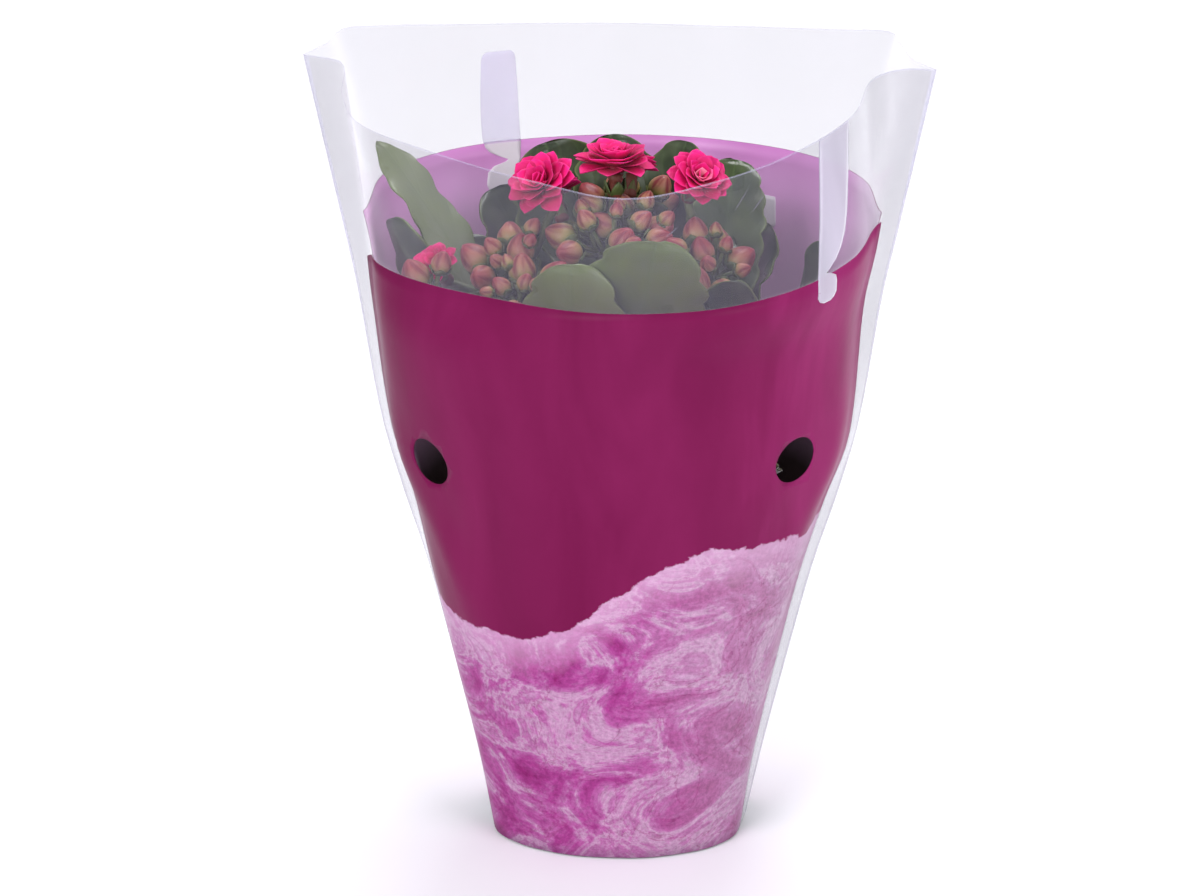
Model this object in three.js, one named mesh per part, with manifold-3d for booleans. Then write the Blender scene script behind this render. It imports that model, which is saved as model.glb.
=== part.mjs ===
// A potted double-flowered kalanchoe standing in its tapered sleeve of printed film.
// Millimetres, +Z up. The sleeve's front faces -Y and its two welded seams lie at -X and +X.
// The origin is the centre of the pot's base, where it rests on the table.
import * as THREE from "three";
import { mergeVertices } from "three/addons/utils/BufferGeometryUtils.js";
import Module from "manifold-3d";

const wasm = await Module();
wasm.setup();

// Gap kept between pieces that touch
const GAP = 0.3;

// Pot: a thin plastic grower's pot of 10.5 cm
const POT = {
  baseRadius: 38,
  neckRadius: 49.6,
  rimRadius: 52.5,
  height: 92,
  rimHeight: 9,
  wall: 1.2,
  floor: 1.8,
  drainRing: 25,
  drainRadius: 3,
  drainCount: 6,
  sides: 24,
};

// Potting mix: its top edge below the rim, its crown in the middle, and the depth of the stem holes
const SOIL = { edgeHeight: 80, crownHeight: 84.5, lumps: 1.1, holeFloor: 56 };

// Film sleeve: its clear margin beside the seams, the width of a panel at the foot and how it grows upward
const FILM = {
  thick: 0.6,
  foot: 0.6,
  margin: 11,
  footWidth: 122,
  widening: 0.727,
  tipHeights: [261.6, 260.2],
  columns: 16,
};

// Punched holes in the front panel: place as a share from seam to seam and a height
const HOLES = { radius: 8, length: 24, places: [[0.217, 140], [0.776, 143.6]], sides: 14 };

// Sections of the film up to the plant: height, half width at the seams, half depth, and how far the
// flat fins beside the left and the right seam stand out of the round body
const SECTIONS = [
  { z: FILM.foot, halfWidth: 41.2, halfDepth: 38.7, fins: [1, 1.6] },
  { z: 26, halfWidth: 46.8, halfDepth: 43.2, fins: [1.8, 3.2] },
  { z: 58, halfWidth: 54.6, halfDepth: 50.2, fins: [2.2, 4] },
  { z: 89, halfWidth: 62.6, halfDepth: 56.8, fins: [3, 4.4] },
  { z: 115, halfWidth: 70.8, halfDepth: 60.8, fins: [5.2, 4.6] },
  { z: 139, halfWidth: 77.2, halfDepth: 66, fins: [4.4, 2.8] },
  { z: 184, halfWidth: 84.8, halfDepth: 77, fins: [5.8, 6] },
];

// Each panel, seen from above and running counter-clockwise from seam to seam: its section where the
// print ends, its section at the upper edge, how far that edge dips between the tips and how evenly,
// the height where the print ends at both ends, and how far it drops at the corner by the first seam.
const PANELS = {
  front: {
    towards: -1,
    waist: [[-89.2, 0], [-81.2, -7.6], [-76, -28], [-62, -46], [-38, -63], [-10, -78], [14, -81.5],
      [38, -77], [60, -62], [76, -38], [83, -9], [89.4, 0]],
    rim: [[-101.3, 0], [-89, -1], [-86.5, -24], [-80, -43], [-55, -60], [-24, -76.5], [7, -88.5],
      [34, -75], [58, -53], [75, -27], [81, 0], [90, 5], [101.3, 0]],
    dip: 13.6,
    dipPower: 1.6,
    printTop: [200.2, 211.4],
    cornerDrop: 10,
  },
  back: {
    towards: 1,
    waist: [[89.4, 0], [83, 9], [76, 41], [58, 63], [34, 76], [0, 82], [-34, 77], [-60, 65],
      [-78, 44], [-83, 9.1], [-89.2, 0]],
    rim: [[101.3, 0], [93, 17.5], [88, 42], [84, 57], [72, 61], [38, 69], [-3, 72.5], [-42, 65],
      [-83, 50], [-91, 44], [-95, 22], [-101.3, 0]],
    dip: 12.4,
    dipPower: 1.8,
    printTop: [208, 205],
    cornerDrop: 0,
  },
};
const WAIST_HEIGHT = 205;
const CORNER_SHARE = 0.12;

// Leaf: the stalk's share of the length, fleshy thickness at the rib and the edge, and its scallops
const LEAF = {
  stalkShare: 0.2,
  stalkWidth: 4.4,
  stalkThick: 3,
  ribThick: 1.9,
  edgeThick: 0.9,
  fold: 0.14,
  lobeDepth: 0.06,
  waveHeight: 1.1,
  filmRoom: 0.6,
};

// Five stems: place at the soil, top, and the leaves that reach the light, each as the height where
// it leaves the stem, its tip, its width, its turn about its own rib and how far it bows
const STEMS = {
  centre: {
    foot: [0, 3],
    top: [0, 0, 184],
    leaves: [
      { from: 168, tip: [2, -44, 206], width: 32, turn: 10, bow: 8 },
      { from: 160, tip: [38, 3, 198], width: 28, turn: 30, bow: 6 },
      { from: 172, tip: [-34, 14, 208], width: 32, turn: 12, bow: 8 },
    ],
  },
  left: {
    foot: [-20, -4],
    top: [-34, -9, 176],
    leaves: [
      { from: 158, tip: [-80, 30, 221.5], width: 19.5, turn: 0, bow: 4 },
      { from: 132, tip: [-74, 6, 204], width: 31, turn: 55, bow: -4 },
      { from: 140, tip: [-54, 34, 188], width: 34, turn: -8, bow: -4 },
    ],
  },
  right: {
    foot: [20, -4],
    top: [32, -10, 178],
    leaves: [
      { from: 150, tip: [62, -30, 194], width: 37, turn: -12, bow: -6 },
      { from: 122, tip: [66, -10, 204], width: 33, turn: 20, bow: -16 },
      { from: 164, tip: [36, 34, 216], width: 27, turn: 0, bow: 2 },
      { from: 130, tip: [39, -56, 208], width: 26, turn: -14, bow: -10 },
    ],
  },
  front: {
    foot: [-3, -21],
    top: [-15, -34, 172],
    leaves: [
      { from: 150, tip: [15, -65, 224], width: 45, turn: -38, bow: -10 },
      { from: 140, tip: [-18, -63, 215.5], width: 38, turn: -6, bow: -13 },
      { from: 134, tip: [-56, -44, 198], width: 38, turn: 6, bow: -6 },
    ],
  },
  back: {
    foot: [3, 23],
    top: [5, 27, 180],
    leaves: [
      { from: 158, tip: [-27, 50, 215], width: 40, turn: -34, bow: -4 },
      { from: 168, tip: [-6, 56, 216], width: 32, turn: 0, bow: -6 },
      { from: 152, tip: [17, 52, 216], width: 34, turn: -8, bow: -4 },
      { from: 138, tip: [-47, 50, 197], width: 36, turn: -10, bow: -6 },
      { from: 130, tip: [47, 44, 190], width: 36, turn: 8, bow: -6 },
    ],
  },
};
const STEM = { footRadius: 4.4, topRadius: 2.6, sides: 7 };
const STEM_STATIONS = [SOIL.holeFloor + GAP, SOIL.crownHeight + 4, 120, 150];

// Lower leaves, the same rule on every stem: height, compass step from the stem's own bearing, reach
const LOWER_LEAVES = [
  { from: 108, bearing: -40, reach: 45, rise: 30 },
  { from: 120, bearing: 50, reach: 46, rise: 38 },
];

// Blooms: centre, the way the flower faces, the outer petals' reach and the number of petal rings
const BLOOMS = [
  { at: [-1.2, -5, 226.8], facing: [0, 0.06, 1], reach: 14, rings: 4, stem: "centre" },
  { at: [-23.5, -16, 223.8], facing: [-0.38, -0.46, 0.8], reach: 12.6, rings: 4, stem: "left" },
  { at: [25.6, -14, 225.8], facing: [0.36, -0.46, 0.8], reach: 11.3, rings: 4, stem: "right" },
  { at: [-58.5, -13, 195.5], facing: [-0.4, -0.45, 0.8], reach: 8, rings: 3, stem: "left" },
  { at: [-22, 23, 207], facing: [-0.3, 0.6, 0.8], reach: 10, rings: 3, stem: "back" },
  { at: [3, 24, 216], facing: [0.1, 0.5, 0.85], reach: 9, rings: 3, stem: "back" },
];
const PETAL_RINGS = [
  { count: 8, pitch: 2, reach: 1, width: 0.56 },
  { count: 6, pitch: 24, reach: 0.86, width: 0.56 },
  { count: 5, pitch: 44, reach: 0.66, width: 0.46 },
  { count: 3, pitch: 64, reach: 0.48, width: 0.4 },
];
// Petal outline: share of the reach, half width as a share of the width, curl as a share of the reach
const PETAL_OUTLINE = [[0.2, 0.12, 0], [0.74, 0.5, 0], [1, 0.14, 0.1]];
const PETAL_THICK = 0.7;

// Heart of a bloom, where its petals join: radius as a share of the reach, depth below the petals
const BLOOM_CORE = { share: 0.3, depth: 1.6, sides: 8 };

// Calyx under a bloom: its length, foot radius, and width at the top as a share of the heart's
const CALYX = { length: 8, footRadius: 1.6, topShare: 0.72, sides: 6 };

// Bud clusters: the stem they crown, a seed and, seen from above, the middle and half spread of each head
// of buds, how many buds it has and how far it stands above the common dome
const CLUSTERS = [
  {
    name: "bud_cluster_centre",
    stem: "centre",
    seed: 11,
    heads: [{ middle: [-1, -19], spread: [16, 12], count: 20, lift: 0 }],
  },
  {
    name: "bud_cluster_left",
    stem: "left",
    seed: 21,
    heads: [{ middle: [-35, -21], spread: [11, 9], count: 14, lift: 1 },
      { middle: [-58, -27], spread: [4, 2], count: 2, lift: 15 }],
  },
  {
    name: "bud_cluster_right",
    stem: "right",
    seed: 31,
    heads: [{ middle: [29, -24], spread: [11, 10], count: 16, lift: 1 },
      { middle: [27, -42], spread: [3, 3], count: 1, lift: 0 }],
  },
  {
    name: "bud_cluster_front",
    stem: "front",
    seed: 43,
    heads: [{ middle: [-28, -39], spread: [12, 8], count: 18, lift: 1 }],
  },
  {
    name: "bud_cluster_back",
    stem: "back",
    seed: 51,
    heads: [{ middle: [-1, 35], spread: [13, 6], count: 9, lift: 2 }],
  },
];
const BUD = { smallest: 2.1, largest: 4.9, slender: 1.15, sides: 5, spacing: 0.88, tries: 60 };
// Stalks of a cluster: radii from the stem up, how far up the way to the first head the fork lies,
// how far a join lies under its buds, and how many buds share a join
const STALK = { peduncle: 2.1, branch: 1.2, pedicel: 0.85, fork: 0.42, joinDepth: 8, perJoin: 4 };
// A bud from its seat to its tip: radius as a share of the widest, height as a share of the bud
const BUD_SWELLING = [[0.8, 0.12], [1, 0.42], [0.66, 0.8], [0, 1]];

// The flower heads together make one low dome
const DOME = { middle: [0, -5], top: 222, fall: 0.0078 };

const COLOURS = {
  pot: 0x2d2b2c,
  soil: 0x3a2a20,
  leaf: 0x3f5c39,
  bud: 0xd98a7c,
  petal: 0xe2147c,
  printedFilm: 0xa0206a,
  clearFilm: 0xe9e8f4,
};

// Seeded random numbers between 0 and 1
function randomFrom(seed) {
  let state = seed;
  return () => {
    state = (state + 0x6d2b79f5) | 0;
    let mixed = Math.imul(state ^ (state >>> 15), 1 | state);
    mixed = (mixed + Math.imul(mixed ^ (mixed >>> 7), 61 | mixed)) ^ mixed;
    return ((mixed ^ (mixed >>> 14)) >>> 0) / 4294967296;
  };
}

function vector(point) {
  return new THREE.Vector3(point[0], point[1], point[2]);
}

// Geometry to solid, with shared vertices merged and empty triangles dropped
function toSolid(geometry) {
  const bare = geometry.clone();
  bare.deleteAttribute("normal");
  bare.deleteAttribute("uv");
  const merged = mergeVertices(bare, 1e-4);
  const index = merged.index.array;
  const kept = [];
  for (let i = 0; i < index.length; i += 3) {
    const [a, b, c] = [index[i], index[i + 1], index[i + 2]];
    if (a !== b && b !== c && c !== a) kept.push(a, b, c);
  }
  return new wasm.Manifold(new wasm.Mesh({
    numProp: 3,
    vertProperties: new Float32Array(merged.attributes.position.array),
    triVerts: new Uint32Array(kept),
  }));
}

function toGeometry(solid) {
  const mesh = solid.getMesh();
  const geometry = new THREE.BufferGeometry();
  const positions = new Float32Array(mesh.numVert * 3);
  for (let i = 0; i < mesh.numVert; i += 1) {
    for (let axis = 0; axis < 3; axis += 1) {
      positions[i * 3 + axis] = mesh.vertProperties[i * mesh.numProp + axis];
    }
  }
  geometry.setAttribute("position", new THREE.BufferAttribute(positions, 3));
  geometry.setIndex(new THREE.BufferAttribute(new Uint32Array(mesh.triVerts), 1));
  const shaded = geometry.toNonIndexed();
  shaded.computeVertexNormals();
  return shaded;
}

function fuse(solids) {
  return solids.reduce((whole, next) => whole.add(next));
}

// Closed sheet between two grids of points. outer[i][j] to inner[i][j] is the thickness; a step in i
// crossed with a step in j points out of the outer face. Only cells that keep(i, j) allows are made.
function sheetSolid(outer, inner, keep = () => true) {
  const columns = outer.length - 1;
  const rows = outer[0].length - 1;
  const positions = [];
  const triangles = [];
  const number = new Map();
  const has = (i, j) => i >= 0 && j >= 0 && i < columns && j < rows && keep(i, j);
  const vertex = (grid, i, j) => {
    const key = `${grid === outer ? "o" : "i"}${i},${j}`;
    if (!number.has(key)) {
      number.set(key, positions.length / 3);
      positions.push(grid[i][j].x, grid[i][j].y, grid[i][j].z);
    }
    return number.get(key);
  };
  const rimQuad = (i0, j0, i1, j1) => {
    const [a, b] = [vertex(outer, i0, j0), vertex(outer, i1, j1)];
    const [c, d] = [vertex(inner, i1, j1), vertex(inner, i0, j0)];
    triangles.push(a, c, b, a, d, c);
  };
  for (let i = 0; i < columns; i += 1) {
    for (let j = 0; j < rows; j += 1) {
      if (!has(i, j)) continue;
      for (const grid of [outer, inner]) {
        const corners = [vertex(grid, i, j), vertex(grid, i + 1, j),
          vertex(grid, i + 1, j + 1), vertex(grid, i, j + 1)];
        const turn = (i + j) % 2 === 0 ? [0, 1, 2, 0, 2, 3] : [0, 1, 3, 1, 2, 3];
        const order = grid === outer ? turn : turn.slice().reverse();
        triangles.push(...order.map((corner) => corners[corner]));
      }
      if (!has(i, j - 1)) rimQuad(i, j, i + 1, j);
      if (!has(i + 1, j)) rimQuad(i + 1, j, i + 1, j + 1);
      if (!has(i, j + 1)) rimQuad(i + 1, j + 1, i, j + 1);
      if (!has(i - 1, j)) rimQuad(i, j + 1, i, j);
    }
  }
  return new wasm.Manifold(new wasm.Mesh({
    numProp: 3,
    vertProperties: new Float32Array(positions),
    triVerts: new Uint32Array(triangles),
  }));
}

// Round rod through points, tapering from the first radius to the last
function rod(points, startRadius, endRadius, sides) {
  const rings = points.map((point, step) => {
    const ahead = points[Math.min(step + 1, points.length - 1)];
    const behind = points[Math.max(step - 1, 0)];
    const along = ahead.clone().sub(behind).normalize();
    const aside = new THREE.Vector3(1, 0, 0);
    if (Math.abs(along.x) > 0.9) aside.set(0, 1, 0);
    const across = along.clone().cross(aside).normalize();
    const up = across.clone().cross(along);
    const radius = THREE.MathUtils.lerp(startRadius, endRadius, step / (points.length - 1));
    return Array.from({ length: sides }, (_, side) => {
      const angle = (side / sides) * 2 * Math.PI;
      return point.clone()
        .addScaledVector(across, radius * Math.cos(angle))
        .addScaledVector(up, radius * Math.sin(angle));
    });
  });
  const positions = rings.flat().flatMap((corner) => corner.toArray());
  const triangles = [];
  for (let ring = 0; ring < rings.length - 1; ring += 1) {
    for (let side = 0; side < sides; side += 1) {
      const next = (side + 1) % sides;
      const [a, b] = [ring * sides + side, ring * sides + next];
      const [c, d] = [(ring + 1) * sides + side, (ring + 1) * sides + next];
      triangles.push(a, c, b, b, c, d);
    }
  }
  const last = (rings.length - 1) * sides;
  for (let side = 1; side < sides - 1; side += 1) {
    triangles.push(0, side, side + 1);
    triangles.push(last, last + side + 1, last + side);
  }
  const solid = new wasm.Manifold(new wasm.Mesh({
    numProp: 3,
    vertProperties: new Float32Array(positions),
    triVerts: new Uint32Array(triangles),
  }));
  return solid;
}

// Body of revolution about +Z from [radius, height] points that start and end on the axis
function turned(profile, sides) {
  const points = profile.map(([radius, height]) => new THREE.Vector2(radius, height));
  const geometry = new THREE.LatheGeometry(points, sides);
  geometry.rotateX(Math.PI / 2);
  return geometry;
}

function upright(radius, bottom, top, sides, x, y) {
  const geometry = new THREE.CylinderGeometry(radius, radius, top - bottom, sides);
  geometry.rotateX(Math.PI / 2);
  geometry.translate(x, y, (top + bottom) / 2);
  return toSolid(geometry);
}

// Film sleeve
// Half section of a panel: a round body between two flat fins that meet the other panel at the seams
function finnedHalf({ halfWidth, halfDepth, fins: [leftFin, rightFin] }, towards) {
  const bodyEdge = (fin) => Math.sqrt(FILM.margin ** 2 - fin ** 2);
  const points = [[halfWidth, 0]];
  const steps = 8;
  for (let step = 0; step <= steps; step += 1) {
    const angle = (step / steps) * Math.PI;
    const reach = halfWidth - (angle < Math.PI / 2 ? rightFin : leftFin);
    const aside = THREE.MathUtils.lerp(bodyEdge(rightFin), bodyEdge(leftFin), step / steps);
    const out = aside + (halfDepth - aside) * Math.sin(angle);
    points.push([reach * Math.cos(angle), towards * out]);
  }
  points.push([-halfWidth, 0]);
  return towards > 0 ? points : points.reverse();
}

function sectionCurve(points) {
  const corners = points.map(([x, y]) => new THREE.Vector3(x, y, 0));
  return new THREE.CatmullRomCurve3(corners, false, "centripetal");
}

for (const panel of Object.values(PANELS)) {
  panel.levels = SECTIONS.map((section) => ({
    z: section.z,
    curve: sectionCurve(finnedHalf(section, panel.towards)),
  }));
  panel.levels.push({ z: WAIST_HEIGHT, curve: sectionCurve(panel.waist) });
  panel.rimCurve = sectionCurve(panel.rim);
}

function rimHeight(panel, share) {
  const fromLeft = panel.towards < 0 ? share : 1 - share;
  const fromMiddle = Math.abs(2 * share - 1);
  const tips = THREE.MathUtils.lerp(...FILM.tipHeights, fromLeft);
  return tips - panel.dip * (1 - fromMiddle ** panel.dipPower);
}

function printHeight(panel, share) {
  const corner = Math.max(0, 1 - share / CORNER_SHARE) ** 2;
  return THREE.MathUtils.lerp(...panel.printTop, share) - panel.cornerDrop * corner;
}

// Point of a panel's inner face: share runs from seam to seam, z is the height
function filmPoint(panel, share, z) {
  const top = rimHeight(panel, share);
  const levels = [...panel.levels, { z: top, curve: panel.rimCurve }];
  let below = 0;
  while (below < levels.length - 2 && levels[below + 1].z < z) below += 1;
  const [low, high] = [levels[below], levels[below + 1]];
  const blend = THREE.MathUtils.clamp((z - low.z) / (high.z - low.z), 0, 1);
  const point = low.curve.getPointAt(share).lerp(high.curve.getPointAt(share), blend);
  const seamShift = panel.towards * (GAP / 2) * Math.abs(2 * share - 1) ** 8;
  return new THREE.Vector3(point.x, point.y + seamShift, z);
}

function filmOut(panel, share, z) {
  const step = 0.004;
  const ahead = filmPoint(panel, Math.min(share + step, 1), z);
  const behind = filmPoint(panel, Math.max(share - step, 0), z);
  const along = ahead.sub(behind);
  return new THREE.Vector3(along.y, -along.x, 0).normalize();
}

function panelGrids(panel, shareAt, heightAt, columns, rows) {
  const outer = [];
  const inner = [];
  for (let i = 0; i <= columns; i += 1) {
    outer.push([]);
    inner.push([]);
    for (let j = 0; j <= rows; j += 1) {
      const share = shareAt(i, j);
      const z = heightAt(share, j);
      const point = filmPoint(panel, share, z);
      inner[i].push(point);
      outer[i].push(point.clone().addScaledVector(filmOut(panel, share, z), FILM.thick));
    }
  }
  return [outer, inner];
}

function panelWidth(z) {
  return FILM.footWidth + FILM.widening * z;
}

const FILM_ROWS = SECTIONS.map((section) => section.z);

function printedFilm(panel) {
  const rows = FILM_ROWS.length;
  const heightAt = (share, j) => (j < rows ? FILM_ROWS[j] : printHeight(panel, share) - GAP);
  const shareAt = (i, j) => {
    const z = j < rows ? FILM_ROWS[j] : WAIST_HEIGHT;
    const edge = (FILM.margin + GAP) / panelWidth(z);
    return THREE.MathUtils.lerp(edge, 1 - edge, i / FILM.columns);
  };
  const [outer, inner] = panelGrids(panel, shareAt, heightAt, FILM.columns, rows);
  return sheetSolid(outer, inner);
}

function clearFilm(panel) {
  const printRow = FILM_ROWS.length;
  const bands = 2;
  const rows = printRow + bands;
  const heightAt = (share, j) => {
    if (j < printRow) return FILM_ROWS[j];
    return THREE.MathUtils.lerp(printHeight(panel, share), rimHeight(panel, share), (j - printRow) / bands);
  };
  const shareAt = (i, j) => {
    const z = j < printRow ? FILM_ROWS[j] : WAIST_HEIGHT;
    const edge = FILM.margin / panelWidth(z);
    if (i === 0) return 0;
    if (i === FILM.columns + 2) return 1;
    return THREE.MathUtils.lerp(edge, 1 - edge, (i - 1) / FILM.columns);
  };
  const [outer, inner] = panelGrids(panel, shareAt, heightAt, FILM.columns + 2, rows);
  const keep = (i, j) => i === 0 || i === FILM.columns + 1 || j >= printRow;
  return sheetSolid(outer, inner, keep);
}

function punched(film) {
  let solid = film;
  for (const [share, z] of HOLES.places) {
    const centre = filmPoint(PANELS.front, share, z);
    const out = filmOut(PANELS.front, share, z);
    const punch = new THREE.CylinderGeometry(HOLES.radius, HOLES.radius, HOLES.length, HOLES.sides);
    punch.rotateZ(Math.atan2(out.y, out.x) - Math.PI / 2);
    punch.translate(centre.x, centre.y, centre.z);
    solid = solid.subtract(toSolid(punch));
  }
  return solid;
}

// Whether a point lies inside the sleeve with room to spare
const sectionCache = new Map();
function sleeveSection(z) {
  const level = Math.round(z);
  if (!sectionCache.has(level)) {
    const outline = [];
    for (const panel of [PANELS.front, PANELS.back]) {
      for (let step = 0; step < 24; step += 1) {
        outline.push(filmPoint(panel, step / 24, level));
      }
    }
    sectionCache.set(level, outline);
  }
  return sectionCache.get(level);
}

function insideSleeve(point, room) {
  const far = Math.hypot(point.x, point.y);
  const stretch = far > 1 ? (far + room) / far : 1;
  const [x, y] = [point.x * stretch, point.y * stretch];
  const outline = sleeveSection(point.z);
  let inside = false;
  for (let i = 0; i < outline.length; i += 1) {
    const a = outline[i];
    const b = outline[(i + 1) % outline.length];
    const crosses = (a.y > y) !== (b.y > y);
    if (crosses && x < ((b.x - a.x) * (y - a.y)) / (b.y - a.y) + a.x) inside = !inside;
  }
  return inside;
}

// Pieces already standing, so that the next ones are bent clear of them
const standing = new Map();

function boxesMeet(a, b) {
  return [0, 1, 2].every((axis) => a.min[axis] <= b.max[axis] && b.min[axis] <= a.max[axis]);
}

function isClear(solid, ownName) {
  const box = solid.boundingBox();
  for (const [name, other] of standing) {
    if (name === ownName) continue;
    if (!boxesMeet(box, other.boundingBox())) continue;
    if (solid.intersect(other).volume() > 1e-6) return false;
  }
  return true;
}

// Leaf
function leafHalfWidth(along, width) {
  const stalkHalf = LEAF.stalkWidth / 2;
  if (along <= LEAF.stalkShare) return stalkHalf;
  const blade = (along - LEAF.stalkShare) / (1 - LEAF.stalkShare);
  const round = (1 - Math.abs(2 * blade ** 0.9 - 1) ** 2.3) ** (1 / 2.3);
  return Math.max(stalkHalf, (width / 2) * Math.max(round, blade > 0.5 ? 0.2 : 0));
}

// The rib is a bow from the stem to the tip; extra thickens the blade all round for clearance tests
function leafSolid({ root, tip, bow, width, turn }, steps, extra = 0) {
  const middle = root.clone().lerp(tip, 0.5);
  const away = new THREE.Vector3(tip.x - root.x, tip.y - root.y, 0).normalize();
  middle.addScaledVector(away, -bow);
  middle.z += bow;
  const rib = new THREE.QuadraticBezierCurve3(root, middle, tip);
  const level = new THREE.Vector3(0, 0, 1).cross(away);
  const top = [];
  const bottom = [];
  for (let step = 0; step <= steps; step += 1) {
    const blade = (step - 1) / (steps - 1);
    const along = step === 0 ? 0 : LEAF.stalkShare + (1 - LEAF.stalkShare) * blade;
    const centre = rib.getPointAt(along);
    const forward = rib.getTangentAt(along);
    const aside = level.clone().applyAxisAngle(forward, THREE.MathUtils.degToRad(turn));
    const face = forward.clone().cross(aside).normalize();
    const onEdge = step > 1 && step < steps;
    const lobe = onEdge ? LEAF.lobeDepth * (step % 3 === 1 ? -1.6 : 0.6) : 0;
    const half = leafHalfWidth(along, width) * (1 + lobe) + extra;
    const wave = onEdge ? LEAF.waveHeight * Math.sin(step * 1.9 + turn) : 0;
    const thick = step < 2 ? LEAF.stalkThick : LEAF.ribThick;
    top.push([]);
    bottom.push([]);
    for (const place of [-1, 0, 1]) {
      const lift = place === 0 ? 0 : LEAF.fold * half + place * wave;
      const point = centre.clone().addScaledVector(aside, place * half).addScaledVector(face, lift);
      const halfThick = (place === 0 ? thick : Math.min(thick, LEAF.edgeThick)) / 2 + extra;
      top[step].push(point.clone().addScaledVector(face, halfThick));
      bottom[step].push(point.clone().addScaledVector(face, -halfThick));
    }
  }
  return sheetSolid(top, bottom);
}

function fitsInSleeve(solid, room) {
  const mesh = solid.getMesh();
  for (let i = 0; i < mesh.numVert; i += 1) {
    const at = i * mesh.numProp;
    const point = vector(mesh.vertProperties.subarray(at, at + 3));
    if (!insideSleeve(point, room)) return false;
  }
  return true;
}

// A leaf where it is wanted, or swung, lifted or shortened until it is clear of everything
const NUDGES = [];
for (const shorten of [1, 0.9, 0.8]) {
  for (const lift of [0, 5, -5, 10, -10]) {
    for (const swing of [0, 5, -5, 10, -10, 16, -16, 24, -24]) {
      NUDGES.push({ shorten, lift, swing, cost: (1 - shorten) * 90 + Math.abs(lift) + Math.abs(swing) });
    }
  }
}
NUDGES.sort((a, b) => a.cost - b.cost);

function clearLeaf(wish, steps, ownName) {
  for (const { shorten, lift, swing } of NUDGES) {
    const reach = wish.tip.clone().sub(wish.root).multiplyScalar(shorten);
    reach.applyAxisAngle(new THREE.Vector3(0, 0, 1), THREE.MathUtils.degToRad(swing));
    reach.z += lift;
    const leaf = { ...wish, tip: wish.root.clone().add(reach), width: wish.width * shorten };
    const roomy = leafSolid(leaf, steps, GAP + 0.1);
    if (fitsInSleeve(roomy, LEAF.filmRoom) && isClear(roomy, ownName)) return leafSolid(leaf, steps);
  }
  return null;
}

// Stem
function stemCurve(stem) {
  const foot = new THREE.Vector3(stem.foot[0], stem.foot[1], SOIL.holeFloor + GAP);
  const collar = new THREE.Vector3(stem.foot[0], stem.foot[1], SOIL.crownHeight + 4);
  return new THREE.CatmullRomCurve3([foot, collar, vector(stem.top)], false, "centripetal");
}

function stemPointAt(stem, height) {
  const miss = (point) => Math.abs(point.z - height);
  const points = stemCurve(stem).getPoints(60);
  return points.reduce((best, point) => (miss(point) < miss(best) ? point : best));
}

function stemRod(stem) {
  const points = STEM_STATIONS.map((height) => stemPointAt(stem, height));
  return rod([...points, vector(stem.top)], STEM.footRadius, STEM.topRadius, STEM.sides);
}

// Bloom
function petalSolid(reach, width, pitch) {
  const angle = THREE.MathUtils.degToRad(pitch);
  const grids = [[], []];
  for (const [along, half, curl] of PETAL_OUTLINE) {
    const x = reach * (along * Math.cos(angle) - curl * Math.sin(angle));
    const z = reach * (along * Math.sin(angle) + curl * Math.cos(angle));
    grids.forEach((grid, face) => {
      const height = z + (face === 0 ? 0.5 : -0.5) * PETAL_THICK;
      grid.push([-1, 1].map((place) => new THREE.Vector3(x, place * half * width, height)));
    });
  }
  return sheetSolid(...grids);
}

function bloomSolid({ reach, rings }) {
  const radius = BLOOM_CORE.share * reach;
  const profile = [[0, -BLOOM_CORE.depth], [radius * 0.8, -1.2], [radius, 0.6], [0, 2.2]];
  const core = turned(profile, BLOOM_CORE.sides);
  const parts = [toSolid(core)];
  PETAL_RINGS.slice(0, rings).forEach((ring, order) => {
    for (let petal = 0; petal < ring.count; petal += 1) {
      const solid = petalSolid(reach * ring.reach, reach * ring.width, ring.pitch + (petal % 2) * 5);
      const turn = (petal / ring.count) * 360 + order * 23;
      parts.push(solid.rotate([0, 0, turn]));
    }
  });
  return fuse(parts);
}

function placed(solid, at, facing) {
  const upwards = new THREE.Vector3(0, 0, 1);
  const turn = new THREE.Quaternion().setFromUnitVectors(upwards, vector(facing).normalize());
  const matrix = new THREE.Matrix4().compose(vector(at), turn, new THREE.Vector3(1, 1, 1));
  return solid.transform(matrix.elements);
}

// Buds
function domeHeight(x, y) {
  const [middleX, middleY] = DOME.middle;
  return DOME.top - DOME.fall * ((x - middleX) ** 2 + (y - middleY) ** 2);
}

// A bud on its own stalk: the stalk runs straight from one point to the seat of the bud
function budOnStalk(radius, from, seat) {
  const tall = radius * 2 * BUD.slender;
  const stalk = from.distanceTo(seat);
  const profile = [
    [0, 0],
    [STALK.pedicel, 0],
    [STALK.pedicel, stalk],
    ...BUD_SWELLING.map(([wide, high]) => [wide * radius, stalk + high * tall]),
  ];
  return placed(toSolid(turned(profile, BUD.sides)), from.toArray(), seat.clone().sub(from).toArray());
}

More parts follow.
